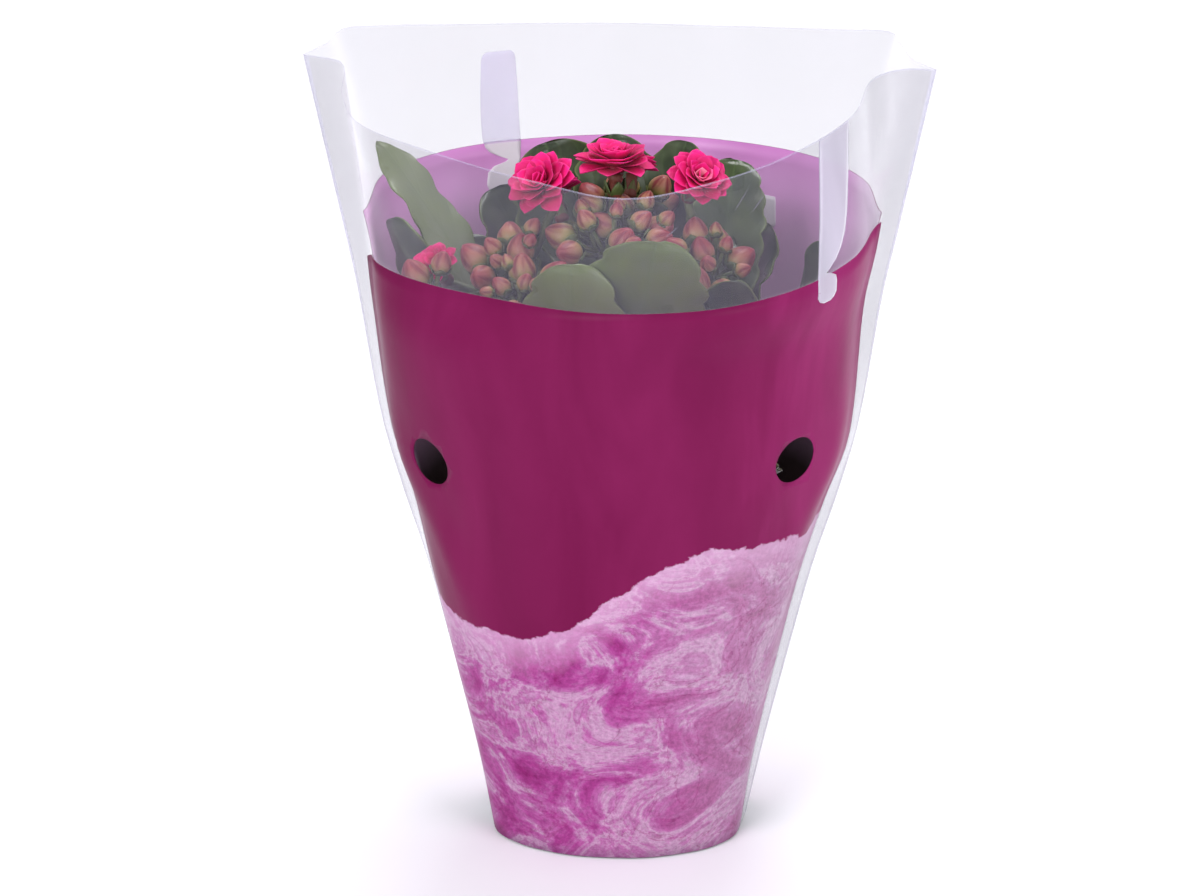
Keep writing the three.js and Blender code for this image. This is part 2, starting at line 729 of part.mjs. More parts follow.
// Seats for the buds of one head, largest first and none deep inside another
function budSeats(head, random) {
  const seats = [];
  for (let bud = 0; bud < head.count; bud += 1) {
    const radius = THREE.MathUtils.lerp(BUD.largest, BUD.smallest, bud / head.count);
    for (let attempt = 0; attempt < BUD.tries; attempt += 1) {
      const bearing = random() * 2 * Math.PI;
      const out = Math.sqrt(random());
      const x = head.middle[0] + out * head.spread[0] * Math.cos(bearing);
      const y = head.middle[1] + out * head.spread[1] * Math.sin(bearing);
      const drop = 2 * radius * BUD.slender + 3 * random();
      const seat = new THREE.Vector3(x, y, domeHeight(x, y) + head.lift - drop);
      const room = (other) => (other.radius + radius) * BUD.spacing;
      if (seats.some((other) => other.seat.distanceTo(seat) < room(other))) continue;
      seats.push({ seat, radius });
      break;
    }
  }
  return seats;
}

// Where a cluster leaves its stem, and where its stalk forks
function clusterFork(cluster) {
  const stem = STEMS[cluster.stem];
  const upward = vector(stem.top).sub(stemPointAt(stem, STEM_STATIONS.at(-1))).normalize();
  const root = vector(stem.top).addScaledVector(upward, GAP);
  const neck = root.clone().addScaledVector(upward, 3);
  const [x, y] = cluster.heads[0].middle;
  const fork = root.clone().lerp(new THREE.Vector3(x, y, domeHeight(x, y)), STALK.fork);
  fork.z -= 3;
  return { root, neck, fork };
}

// Calyx under a bloom, on a stalk from the cluster's fork
function calyxSolid(bloom, fork) {
  const facing = vector(bloom.facing).normalize();
  const seat = vector(bloom.at).addScaledVector(facing, -BLOOM_CORE.depth - GAP);
  const below = seat.clone().addScaledVector(facing, -CALYX.length);
  const topRadius = BLOOM_CORE.share * bloom.reach * CALYX.topShare;
  const cup = rod([below, seat], CALYX.footRadius, topRadius, CALYX.sides);
  const bend = below.clone().lerp(fork, 0.5);
  bend.z -= 2;
  const end = below.clone().addScaledVector(facing, 0.6);
  return fuse([cup, rod([fork, bend, end], STALK.peduncle * 0.8, STALK.branch, 5)]);
}

// The stalk of a cluster from its stem to the fork, with the calyces of the stem's blooms
function stalkSolid(cluster) {
  const { root, neck, fork } = clusterFork(cluster);
  const blooms = BLOOMS.filter((bloom) => bloom.stem === cluster.stem);
  const calyces = blooms.map((bloom) => calyxSolid(bloom, fork));
  return fuse([rod([root, neck, fork], STEM.topRadius - 0.1, STALK.peduncle, 6), ...calyces]);
}

// A branch from the fork to each few buds, with every bud that has room
function headSolids(cluster) {
  const random = randomFrom(cluster.seed);
  const { fork } = clusterFork(cluster);
  const parts = [];
  for (const head of cluster.heads) {
    const seats = budSeats(head, random);
    const joinCount = Math.ceil(seats.length / STALK.perJoin);
    for (let join = 0; join < joinCount; join += 1) {
      const own = seats.filter((_, index) => index % joinCount === join);
      const joinPoint = new THREE.Vector3();
      own.forEach(({ seat }) => joinPoint.addScaledVector(seat, 1 / own.length));
      joinPoint.z -= STALK.joinDepth;
      const beyond = joinPoint.clone().sub(fork).normalize().add(joinPoint);
      const branch = rod([fork, beyond], STALK.peduncle * 0.8, STALK.branch, 4);
      if (!isClear(branch, cluster.name)) continue;
      parts.push(branch);
      for (const { seat, radius } of own) {
        const roomy = budOnStalk(radius + GAP, joinPoint, seat);
        if (isClear(roomy, cluster.name)) parts.push(budOnStalk(radius, joinPoint, seat));
      }
    }
  }
  return parts;
}

// Pot and soil
function potSolid() {
  const { baseRadius, neckRadius, rimRadius, height, rimHeight: band, wall, floor } = POT;
  const shoulder = height - band;
  const profile = [
    [0, 0],
    [baseRadius - 1.2, 0],
    [baseRadius, 1.2],
    [neckRadius, shoulder - 1.5],
    [rimRadius - 0.6, shoulder],
    [rimRadius, height],
    [rimRadius - wall, height],
    [rimRadius - wall - 0.5, shoulder + 1],
    [neckRadius - wall, shoulder - 0.5],
    [baseRadius - wall, floor + 0.8],
    [baseRadius - wall - 0.8, floor],
    [0, floor],
  ];
  let solid = toSolid(turned(profile, POT.sides));
  for (let hole = 0; hole < POT.drainCount; hole += 1) {
    const angle = (hole / POT.drainCount) * 2 * Math.PI;
    const [x, y] = [POT.drainRing * Math.cos(angle), POT.drainRing * Math.sin(angle)];
    solid = solid.subtract(upright(POT.drainRadius, -1, floor + 1, 8, x, y));
  }
  return solid;
}

function soilSolid() {
  const inside = (z) => {
    const share = (z - POT.floor) / (POT.height - POT.rimHeight - POT.floor);
    return THREE.MathUtils.lerp(POT.baseRadius, POT.neckRadius, share) - POT.wall - GAP - 0.3;
  };
  const bottom = POT.floor + GAP;
  const profile = [
    [0, bottom],
    [inside(bottom) - 1, bottom],
    [inside(bottom + 2), bottom + 2],
    [inside(SOIL.edgeHeight), SOIL.edgeHeight],
    [34, (SOIL.edgeHeight + SOIL.crownHeight) / 2],
    [20, SOIL.crownHeight - 0.6],
    [0, SOIL.crownHeight],
  ];
  const geometry = turned(profile, 18);
  const position = geometry.attributes.position;
  for (let i = 0; i < position.count; i += 1) {
    const [x, y, z] = [position.getX(i), position.getY(i), position.getZ(i)];
    const top = z >= SOIL.edgeHeight && Math.hypot(x, y) > 1;
    if (top) position.setZ(i, z + SOIL.lumps * Math.sin(x * 0.31) * Math.cos(y * 0.27));
  }
  let solid = toSolid(geometry);
  for (const { foot } of Object.values(STEMS)) {
    const radius = STEM.footRadius + GAP + 0.15;
    solid = solid.subtract(upright(radius, SOIL.holeFloor, SOIL.crownHeight + 8, 8, foot[0], foot[1]));
  }
  return solid;
}

// Assembly
const group = new THREE.Group();

function addPiece(name, solid, colour, roughness, opacity = 1) {
  const material = new THREE.MeshStandardMaterial({ color: colour, roughness, metalness: 0 });
  if (opacity < 1) {
    material.transparent = true;
    material.opacity = opacity;
    material.side = THREE.DoubleSide;
  }
  const mesh = new THREE.Mesh(toGeometry(solid), material);
  mesh.name = name;
  group.add(mesh);
}

addPiece("pot", potSolid(), COLOURS.pot, 0.5);
addPiece("soil", soilSolid(), COLOURS.soil, 0.95);

BLOOMS.forEach((bloom, order) => {
  const name = `bloom_${order + 1}`;
  standing.set(name, placed(bloomSolid(bloom), bloom.at, bloom.facing));
});

for (const [name, stem] of Object.entries(STEMS)) {
  standing.set(`leafy_stem_${name}`, stemRod(stem));
}

// Every cluster's stalks and calyces come first, then the buds that are clear of them all
CLUSTERS.forEach((cluster) => standing.set(cluster.name, stalkSolid(cluster)));
CLUSTERS.forEach((cluster) => {
  const stalks = standing.get(cluster.name);
  standing.set(cluster.name, fuse([stalks, ...headSolids(cluster)]));
});

// Leaves that reach the light come first, then the lower ones fill in
const wishes = [];
for (const [name, stem] of Object.entries(STEMS)) {
  for (const leaf of stem.leaves) {
    const root = stemPointAt(stem, leaf.from);
    wishes.push({ name, steps: 11, leaf: { ...leaf, root, tip: vector(leaf.tip) } });
  }
}
for (const [name, stem] of Object.entries(STEMS)) {
  const outward = Math.atan2(stem.top[1], stem.top[0]);
  for (const { from, bearing, reach, rise } of LOWER_LEAVES) {
    const root = stemPointAt(stem, from);
    const angle = outward + THREE.MathUtils.degToRad(bearing);
    const tip = root.clone();
    tip.add(new THREE.Vector3(reach * Math.cos(angle), reach * Math.sin(angle), rise));
    wishes.push({ name, steps: 7, leaf: { root, tip, width: 32, turn: 0, bow: -4 } });
  }
}
for (const { name, steps, leaf } of wishes) {
  const node = `leafy_stem_${name}`;
  const solid = clearLeaf(leaf, steps, node);
  if (solid) standing.set(node, standing.get(node).add(solid));
}

for (const [name, solid] of standing) {
  if (name.startsWith("bloom")) addPiece(name, solid, COLOURS.petal, 0.6);
  else if (name.startsWith("bud")) addPiece(name, solid, COLOURS.bud, 0.6);
  else addPiece(name, solid, COLOURS.leaf, 0.55);
}

addPiece("sleeve_front_printed_film", punched(printedFilm(PANELS.front)), COLOURS.printedFilm, 0.35);
addPiece("sleeve_front_clear_film", clearFilm(PANELS.front), COLOURS.clearFilm, 0.2, 0.35);
addPiece("sleeve_back_printed_film", printedFilm(PANELS.back), COLOURS.printedFilm, 0.35);
addPiece("sleeve_back_clear_film", clearFilm(PANELS.back), COLOURS.clearFilm, 0.2, 0.35);

export default group;
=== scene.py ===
"""A potted double-flowered kalanchoe in its tapered sleeve of printed film.

Lengths are in millimetres until a mesh is made. The sleeve's front faces -Y and its welded seams lie at
-X and +X. Leaves and buds take their places from the same rules as the solids do. The solids then say how
far each leaf was bent to clear its neighbours, and which buds had room.
"""

import random
from bisect import bisect_right
from math import atan2, ceil, cos, exp, pi, radians, sin, sqrt

import bpy
from mathutils import Matrix, Quaternion, Vector, kdtree, noise


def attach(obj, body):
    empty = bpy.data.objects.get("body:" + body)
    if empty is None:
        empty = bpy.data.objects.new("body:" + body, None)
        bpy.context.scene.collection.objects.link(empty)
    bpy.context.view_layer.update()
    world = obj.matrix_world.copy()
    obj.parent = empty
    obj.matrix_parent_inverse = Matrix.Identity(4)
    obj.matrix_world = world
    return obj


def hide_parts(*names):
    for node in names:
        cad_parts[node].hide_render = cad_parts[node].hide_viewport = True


MM = 0.001
UP = Vector((0, 0, 1))

# Camera, as the photograph was taken
CAMERA = {
    "azimuth": 3.0,
    "elevation": 21.5,
    "distance": 3500,
    "target": (0, 0, 130),
    "target_pixel": (619.5, 442.9),
    "picture": (1200, 896),
    "mm_per_pixel": 0.324,
    "sensor": 36,
}

# Film sleeve: its thickness and foot, its clear margin beside the seams, the width of a panel at the foot
# and how it grows upward, the heights of the left and right tips, the denser bands along its upper edge
# and its seams, brighter as a painted highlight, the gaps round the print, and how far each panel keeps
# from the seams' plane
FILM = {
    "thick": 0.25,
    "foot": 0.6,
    "margin": 11,
    "foot_width": 122,
    "widening": 0.727,
    "tips": (261.6, 260.2),
    "edge_band": 0.5,
    "seam_band": 1.3,
    "gap_above": 0.06,
    "gap_beside": 0.0003,
    "apart": 0.03,
}
# Punched holes in the front panel: place as a share from seam to seam and a height
HOLES = {"radius": 8, "cut": 24, "sides": 48, "places": [(0.217, 140), (0.776, 143.6)]}
PRINT_COLUMNS = 72
PRINT_ROWS = 44
CLEAR_ROWS = 22
SEAM_COLUMNS = 5
WAIST = 205
CORNER_SHARE = 0.12

# Sections of the film up to the plant: height, half width at the seams, half depth, and how far the flat
# fins beside the left and the right seam stand out of the round body
SECTIONS = [
    (0.6, 41.2, 38.7, 1, 1.6),
    (26, 46.8, 43.2, 1.8, 3.2),
    (58, 54.6, 50.2, 2.2, 4),
    (89, 62.6, 56.8, 3, 4.4),
    (115, 70.8, 60.8, 5.2, 4.6),
    (139, 77.2, 66, 4.4, 2.8),
    (184, 84.8, 77, 5.8, 6),
]

# Each panel from seam to seam: section where the print ends, section at the upper edge, how far that edge
# dips between the tips and how evenly, the print's height at both ends, its drop at the first corner, and
# the folds that stand out of it as one end and the other in share and height, with their width and rise
PANELS = {
    "front": {
        "towards": -1,
        "seed": 3.7,
        "waist": [(-89.2, 0), (-81.2, -7.6), (-76, -28), (-62, -46), (-38, -63), (-10, -78), (14, -81.5),
                  (38, -77), (60, -62), (76, -38), (83, -9), (89.4, 0)],
        "rim": [(-101.3, 0), (-89, -1), (-86.5, -24), (-80, -43), (-55, -60), (-24, -76.5), (7, -88.5),
                (34, -75), (58, -53), (75, -27), (81, 0), (90, 5), (101.3, 0)],
        "dip": (13.6, 1.6),
        "print_top": (200.2, 211.4),
        "corner_drop": 10,
        "folds": [
            ((0.10, 158), (0.24, 92), 7, 1.2),
            ((0.17, 128), (0.36, 30), 9, 0.9),
            ((0.90, 160), (0.80, 98), 7, 1.2),
            ((0.84, 122), (0.66, 24), 9, 0.9),
            ((0.60, 246), (0.67, 226), 3.5, 0.8),
            ((0.65, 240), (0.71, 216), 3, 0.7),
            ((0.69, 250), (0.72, 236), 3, 0.7),
            ((0.30, 252), (0.26, 214), 6, 0.6),
        ],
    },
    "back": {
        "towards": 1,
        "seed": 9.1,
        "waist": [(89.4, 0), (83, 9), (76, 41), (58, 63), (34, 76), (0, 82), (-34, 77), (-60, 65),
                  (-78, 44), (-83, 9.1), (-89.2, 0)],
        "rim": [(101.3, 0), (93, 17.5), (88, 42), (84, 57), (72, 61), (38, 69), (-3, 72.5), (-42, 65),
                (-83, 50), (-91, 44), (-95, 22), (-101.3, 0)],
        "dip": (12.4, 1.8),
        "print_top": (208, 205),
        "corner_drop": 0,
        "folds": [
            ((0.12, 158), (0.24, 92), 7, 1.2),
            ((0.88, 158), (0.77, 92), 7, 1.2),
            ((0.35, 246), (0.30, 214), 6, 0.7),
            ((0.62, 246), (0.66, 214), 6, 0.7),
        ],
    },
}
# Soft ripples all over the film: rise, and along and up the film the scale of the wide and the fine ones
RIPPLE = {"rise": 0.7, "wide": (11, 0.011), "fine": (34, 0.02), "fine_share": 0.35}
# Short sharp creases near the front's upper edge, bumped into the film and drawn denser as a painted
# glint: middle, length, width and turn
CREASES = [
    ((42, -66, 240.8), 10, 0.9, -55),
    ((47.2, -62, 238.5), 8, 0.8, -49),
    ((21, -80, 234.4), 7, 0.9, -39),
]

# Bare label tabs printed on the film: panel, how far each stands proud of the film, and from the top down
# a height with the share of either side. The front one's top follows the film's edge above FLARE.
TABS = {
    "front": ("front", 0.08, [
        (251.4, 0.765, 0.821), (237, 0.765, 0.821), (225.6, 0.764, 0.819), (220.2, 0.763, 0.815),
        (216, 0.763, 0.807), (213, 0.763, 0.797), (210.6, 0.763, 0.783), (209.9, 0.763, 0.777),
        (209.2, 0.763, 0.788), (207.8, 0.763, 0.799), (205.8, 0.764, 0.802), (202.2, 0.766, 0.804),
        (200.6, 0.772, 0.800), (199.8, 0.780, 0.794),
    ]),
    "back": ("back", 0.22, [
        (239.6, 0.643, 0.672), (238.6, 0.639, 0.676), (236.8, 0.637, 0.678), (225, 0.633, 0.678),
        (207.6, 0.630, 0.677), (204.6, 0.630, 0.675), (202.8, 0.631, 0.670), (201.4, 0.632, 0.661),
        (199.9, 0.633, 0.648), (199.2, 0.634, 0.652), (198.2, 0.636, 0.668), (196.4, 0.637, 0.678),
        (193, 0.640, 0.684), (191.4, 0.642, 0.683), (190.2, 0.648, 0.676),
    ]),
    "patch": ("back", 0.22, [
        (191.4, 0.306, 0.322), (190, 0.304, 0.324), (183, 0.300, 0.320), (182, 0.302, 0.318),
    ]),
}
FLARE = 225
TAB_COLUMNS = 8
TAB_STEP = 2.5

# Pot of 10.5 cm, and the potting mix in it
POT = {"base": 38, "neck": 49.6, "rim": 52.5, "height": 92, "band": 9, "wall": 1.2, "floor": 1.8}
DRAIN = {"ring": 25, "radius": 3, "cut": 8, "sides": 32, "count": 6}
SOIL = {"edge": 80, "crown": 84.5, "floor": 2.1, "hole_floor": 56, "lump": 1.3, "sides": 72}
CRUMBS = {"count": 220, "spread": 44, "size": (0.6, 1.9), "dark_share": 0.82}
GAP = 0.3

# Leaf
LEAF = {
    "stalk_share": 0.2,
    "stalk_rows": 0.12,
    "stalk_width": 4.4,
    "stalk_thick": 3.0,
    "rib_thick": 2.1,
    "rim_thick": 0.7,
    "groove": 0.22,
    "fold": 0.14,
    "wave": 1.1,
    "wave_turn": 1.9,
    "scallops": 6,
    "scallop_depth": 0.07,
    "roundness": 2.3,
}
LEAF_ROWS = 44
LEAF_COLUMNS = 14

# Stems: place at the soil, top, and the leaves that reach the light. A leaf is the height where it leaves
# the stem, its tip, width, turn and bow, and for some a tone, above 1 for a pale grey painted sheen
STEMS = {
    "centre": ((0, 3), (0, 0, 184), [
        (168, (2, -44, 206), 32, 10, 8),
        (160, (38, 3, 198), 28, 30, 6),
        (172, (-34, 14, 208), 32, 12, 8),
    ]),
    "left": ((-20, -4), (-34, -9, 176), [
        (158, (-80, 30, 221.5), 19.5, 0, 4, 1.6),
        (132, (-74, 6, 204), 31, 55, -4),
        (140, (-54, 34, 188), 34, -8, -4),
    ]),
    "right": ((20, -4), (32, -10, 178), [
        (150, (62, -30, 194), 37, -12, -6),
        (122, (66, -10, 204), 33, 20, -16),
        (164, (36, 34, 216), 27, 0, 2, 0.5),
        (130, (39, -56, 208), 26, -14, -10),
    ]),
    "front": ((-3, -21), (-15, -34, 172), [
        (150, (15, -65, 224), 45, -38, -10, 0.86),
        (140, (-18, -63, 215.5), 38, -6, -13, 1.2),
        (134, (-56, -44, 198), 38, 6, -6),
    ]),
    "back": ((3, 23), (5, 27, 180), [
        (158, (-27, 50, 215), 40, -34, -4),
        (168, (-6, 56, 216), 32, 0, -6),
        (152, (17, 52, 216), 34, -8, -4),
        (138, (-47, 50, 197), 36, -10, -6),
        (130, (47, 44, 190), 36, 8, -6),
    ]),
}
STEM = {"foot_radius": 4.4, "top_radius": 2.6, "neck_height": 150, "steps": 24, "sides": 16}
VISIBLE_STEPS = 11

# Lower leaves, the same rule on every stem: height, bearing from the stem's lean, reach and rise
LOWER_LEAVES = [(108, -40, 45, 30), (120, 50, 46, 38)]
LOWER = {"width": 32, "turn": 0, "bow": -4, "steps": 7}
DARK_TONES = {"visible": 0.45, "lower": 0.3}

# How the solids may have bent a leaf, the least first
NUDGES = sorted(
    (
        (shorten, lift, swing)
        for shorten in (1, 0.9, 0.8)
        for lift in (0, 5, -5, 10, -10)
        for swing in (0, 5, -5, 10, -10, 16, -16, 24, -24)
    ),
    key=lambda nudge: (1 - nudge[0]) * 90 + abs(nudge[1]) + abs(nudge[2]),
)
# Probes that match a leaf to the solid: how far out of its middle they lie, how near a corner of the solid
# has to be, and the share of them that settles the place at once or is the least that will do
MATCH = {"skin": 0.95, "near": 0.06, "sure": 0.7, "least": 0.25}

# Blooms: centre, the way the flower faces, reach of the outer petals, how open it is, its stem
BLOOMS = [
    ((-1.2, -5, 226.8), (0, 0.06, 1), 14, 4, "centre"),
    ((-23.5, -16, 223.8), (-0.38, -0.46, 0.8), 12.6, 4, "left"),
    ((25.6, -14, 225.8), (0.36, -0.46, 0.8), 11.3, 4, "right"),
    ((-58.5, -13, 195.5), (-0.4, -0.45, 0.8), 8, 3, "left"),
    ((-22, 23, 207), (-0.3, 0.6, 0.8), 10, 3, "back"),
    ((3, 24, 216), (0.1, 0.5, 0.85), 9, 3, "back"),
]
PALE_BLOOM = 3
PALE_PITCH = 50

# Rows of petals from the outside in: how many, pitch, reach and width as shares, needed opening
PETAL_ROWS = [
    (7, 1, 1.0, 0.58, 3),
    (7, 13, 0.96, 0.58, 3),
    (6, 26, 0.88, 0.56, 3),
    (6, 39, 0.76, 0.50, 3),
    (5, 53, 0.62, 0.44, 3),
    (4, 68, 0.5, 0.38, 4),
]
# Half width of a petal along its length
PETAL_OUTLINE = [
    (0, 0.24), (0.2, 0.5), (0.4, 0.8), (0.58, 1.0), (0.72, 0.97), (0.85, 0.74), (0.94, 0.4), (1, 0.05),
]
PETAL = {"thick": 0.45, "wider": 1.08, "row_turn": 23, "root": 0.1, "belly": 0.05, "rows": 9, "columns": 6}
# The flower's heart: radius as a share of its reach, depth, and its profile as share of radius and height
HEART = {
    "share": 0.3,
    "depth": 1.6,
    "profile": [(0.35, -1.5), (0.8, -1.1), (1, 0.2), (0.8, 1.6), (0.35, 2.3)],
    "top": 2.4,
}
CALYX = {"length": 8, "foot_radius": 1.6, "top_share": 0.72}

# Bud clusters: the stem they crown, a seed, and the heads as middle, spread, number of buds and lift
CLUSTERS = {
    "centre": (11, [((-1, -19), (16, 12), 20, 0)]),
    "left": (21, [((-35, -21), (11, 9), 14, 1), ((-58, -27), (4, 2), 2, 15)]),
    "right": (31, [((29, -24), (11, 10), 16, 1), ((27, -42), (3, 3), 1, 0)]),
    "front": (43, [((-28, -39), (12, 8), 18, 1)]),
    "back": (51, [((-1, 35), (13, 6), 9, 2)]),
}
BUD = {"smallest": 2.1, "largest": 4.9, "slender": 1.15, "spacing": 0.88, "tries": 60, "near": 0.1}
SEPAL = {"foot": 0.35, "reach": 1.06, "width": 0.62, "round": 0.16, "thick": 0.22, "tip_thick": 0.08}
BUD_SIDES = 32
BUD_STEPS = 14
STALK = {"peduncle": 2.1, "branch": 1.2, "pedicel": 0.85, "fork": 0.42, "join_depth": 8, "per_join": 4}
DOME = {"middle": (0, -5), "top": 222, "fall": 0.0078}

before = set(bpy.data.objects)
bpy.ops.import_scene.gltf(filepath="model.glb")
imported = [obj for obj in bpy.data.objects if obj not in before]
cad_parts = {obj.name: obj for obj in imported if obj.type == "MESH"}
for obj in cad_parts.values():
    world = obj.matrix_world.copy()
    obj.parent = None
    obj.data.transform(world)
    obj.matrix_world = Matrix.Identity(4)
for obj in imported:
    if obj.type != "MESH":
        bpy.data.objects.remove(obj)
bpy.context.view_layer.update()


# Small tools
def mix(a, b, share):
    return a + (b - a) * share


def clamp(value, low=0.0, high=1.0):
    return max(low, min(high, value))


def shares(count):
    return [step / count for step in range(count + 1)]


def taper(start, end, count=10):
    return [mix(start, end, share) for share in shares(count)]


def around(sides):
    return [2 * pi * side / sides for side in range(sides)]


def polar(radius, angle, height=0.0):
    return Vector((radius * cos(angle), radius * sin(angle), height))


def through(table, at):
    """Value read between the rows of a short table of (place, value)."""
    for (low, start), (high, end) in zip(table, table[1:]):
        if at <= high:
            return mix(start, end, clamp((at - low) / (high - low)))
    return table[-1][1]


def seeded(seed):
    """The same seeded draws, from 0 to 1, as place the buds in the solids."""
    state = seed

    def draw():
        nonlocal state
        state = (state + 0x6D2B79F5) & 0xFFFFFFFF
        mixed = (state ^ (state >> 15)) * (1 | state) & 0xFFFFFFFF
        mixed = ((mixed + (mixed ^ (mixed >> 7)) * (61 | mixed)) ^ mixed) & 0xFFFFFFFF
        return (mixed ^ (mixed >> 14)) / 4294967296

    return draw


class Walk:
    """A curve that can be walked by its length."""

    def measure(self, steps=200):
        places = [self.raw(share) for share in shares(steps)]
        self.lengths = [0.0]
        for before, here in zip(places, places[1:]):
            self.lengths.append(self.lengths[-1] + (here - before).length)

    def spot(self, share):
        """The curve's own measure at a share of its length."""
        wanted = clamp(share) * self.lengths[-1]
        steps = len(self.lengths) - 1
        low = min(bisect_right(self.lengths, wanted), steps) - 1
        stretch = self.lengths[low + 1] - self.lengths[low]
        return (low + (wanted - self.lengths[low]) / stretch) / steps

    def at(self, share):
        return self.raw(self.spot(share))


class Curve(Walk):
    """Smooth curve through points, with centripetal spacing."""

    def __init__(self, points):
        self.points = [Vector(point).to_3d() for point in points]
        self.measure()

    def raw(self, share):
        points = self.points
        spot = (len(points) - 1) * share
        start = min(int(spot), len(points) - 2)
        t = spot - start
        b, c = points[start], points[start + 1]
        a = points[start - 1] if start > 0 else 2 * b - c
        d = points[start + 2] if start + 2 < len(points) else 2 * c - b
        ab, bc, cd = (sqrt((q - p).length) for p, q in ((a, b), (b, c), (c, d)))
        into = ((b - a) / ab - (c - a) / (ab + bc) + (c - b) / bc) * bc
        out = ((c - b) / bc - (d - b) / (bc + cd) + (d - c) / cd) * bc
        square = -3 * b + 3 * c - 2 * into - out
        cube = 2 * b - 2 * c + into + out
        return b + into * t + square * t * t + cube * t ** 3


class Shape:
    """The vertices and faces of one piece, with three numbers kept at each vertex for its material."""

    VALUES = ("along", "across", "tone")

    def __init__(self):
        self.points, self.values = [], []
        self.faces, self.slots, self.flat = [], [], []

    def point(self, place, values=(0, 0, 0)):
        self.points.append(place)
        self.values.append(values)
        return len(self.points) - 1

    def face(self, corners, slot=0, flat=False):
        self.faces.append(corners)
        self.slots.append(slot)
        self.flat.append(flat)

    def sheet(self, grid, keep=None, slot=None, back_slot=None, flat_rim=False):
        """Closed sheet on a grid of corners, each an outer point, an inner point and perhaps its values.

        A step in i crossed with a step in j points out of the outer side.
        """
        rows, columns = len(grid) - 1, len(grid[0]) - 1
        number = {}

        def corner(side, i, j):
            if (side, i, j) not in number:
                number[side, i, j] = self.point(grid[i][j][side], *grid[i][j][2:])
            return number[side, i, j]

        def has(i, j):
            return 0 <= i < rows and 0 <= j < columns and (keep is None or keep(i, j))

        for i in range(rows):
            for j in range(columns):
                if not has(i, j):
                    continue
                look = slot(i, j) if slot else 0
                ring = [(i, j), (i + 1, j), (i + 1, j + 1), (i, j + 1)]
                self.face([corner(0, *spot) for spot in ring], look)
                behind = look if back_slot is None else back_slot
                self.face([corner(1, *spot) for spot in reversed(ring)], behind)
                for side, (di, dj) in enumerate(((0, -1), (1, 0), (0, 1), (-1, 0))):
                    if not has(i + di, j + dj):
                        a, b = ring[side], ring[(side + 1) % 4]
                        corners = [corner(0, *b), corner(0, *a), corner(1, *a), corner(1, *b)]
                        self.face(corners, look, flat_rim)

    def loft(self, rings, start, end, value=(0, 0, 0)):
        """Closed skin over rings of points, with a pole at either end."""
        numbers = [[self.point(place, value) for place in ring] for ring in rings]
        first, last = self.point(start, value), self.point(end, value)
        moved = [ring[1:] + ring[:1] for ring in numbers]
        for ring in range(len(rings) - 1):
            for corners in zip(numbers[ring], moved[ring], moved[ring + 1], numbers[ring + 1]):
                self.face(corners)
        for low, low_after, high, high_after in zip(numbers[0], moved[0], numbers[-1], moved[-1]):
            self.face([first, low_after, low])
            self.face([last, high, high_after])

    def tube(self, path, radii, sides=12, value=(0, 0, 0)):
        """Round rod along a path."""
        rings = []
        normal = None
        for step, (place, radius) in enumerate(zip(path, radii)):
            ahead = path[min(step + 1, len(path) - 1)]
            along = (ahead - path[max(step - 1, 0)]).normalized()
            if normal is None:
                normal = along.cross(Vector((0, 1, 0)) if abs(along.x) > 0.9 else Vector((1, 0, 0)))
            normal = (normal - along * normal.dot(along)).normalized()
            across = along.cross(normal)
            rings.append([place + radius * (normal * cos(t) + across * sin(t)) for t in around(sides)])
        self.loft(rings, path[0], path[-1], value)

    def piece(self, name, *looks):
        mesh = bpy.data.meshes.new(name)
        mesh.from_pydata([place * MM for place in self.points], [], self.faces)
        mesh.polygons.foreach_set("material_index", self.slots)
        mesh.polygons.foreach_set("use_smooth", [not flat for flat in self.flat])
        for order, label in enumerate(self.VALUES):
            layer = mesh.attributes.new(label, "FLOAT", "POINT")
            layer.data.foreach_set("value", [float(value[order]) for value in self.values])
        for look in looks:
            mesh.materials.append(look)
        mesh.update()
        obj = bpy.data.objects.new(name, mesh)
        bpy.context.scene.collection.objects.link(obj)
        return obj


def stand_for(obj, node):
    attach(obj, "root")
    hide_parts(node)


# Materials
class Field:
    """A number, colour or place that varies over a surface, with arithmetic that adds Math nodes."""

    def __init__(self, look, socket):
        self.look, self.socket = look, socket

    def math(self, kind, other=0.0, limit=False):
        return self.look.field("Math", {0: self, 1: other}, operation=kind, use_clamp=limit)

    def __add__(self, other):
        return self.math("ADD", other)

    def __sub__(self, other):
        return self.math("SUBTRACT", other)

    def __mul__(self, other):
        return self.math("MULTIPLY", other)

    def __abs__(self):
        return self.math("ABSOLUTE")

    def sine(self):
        return self.math("SINE")

    def or_more(self, other):
        return self.math("MAXIMUM", other)


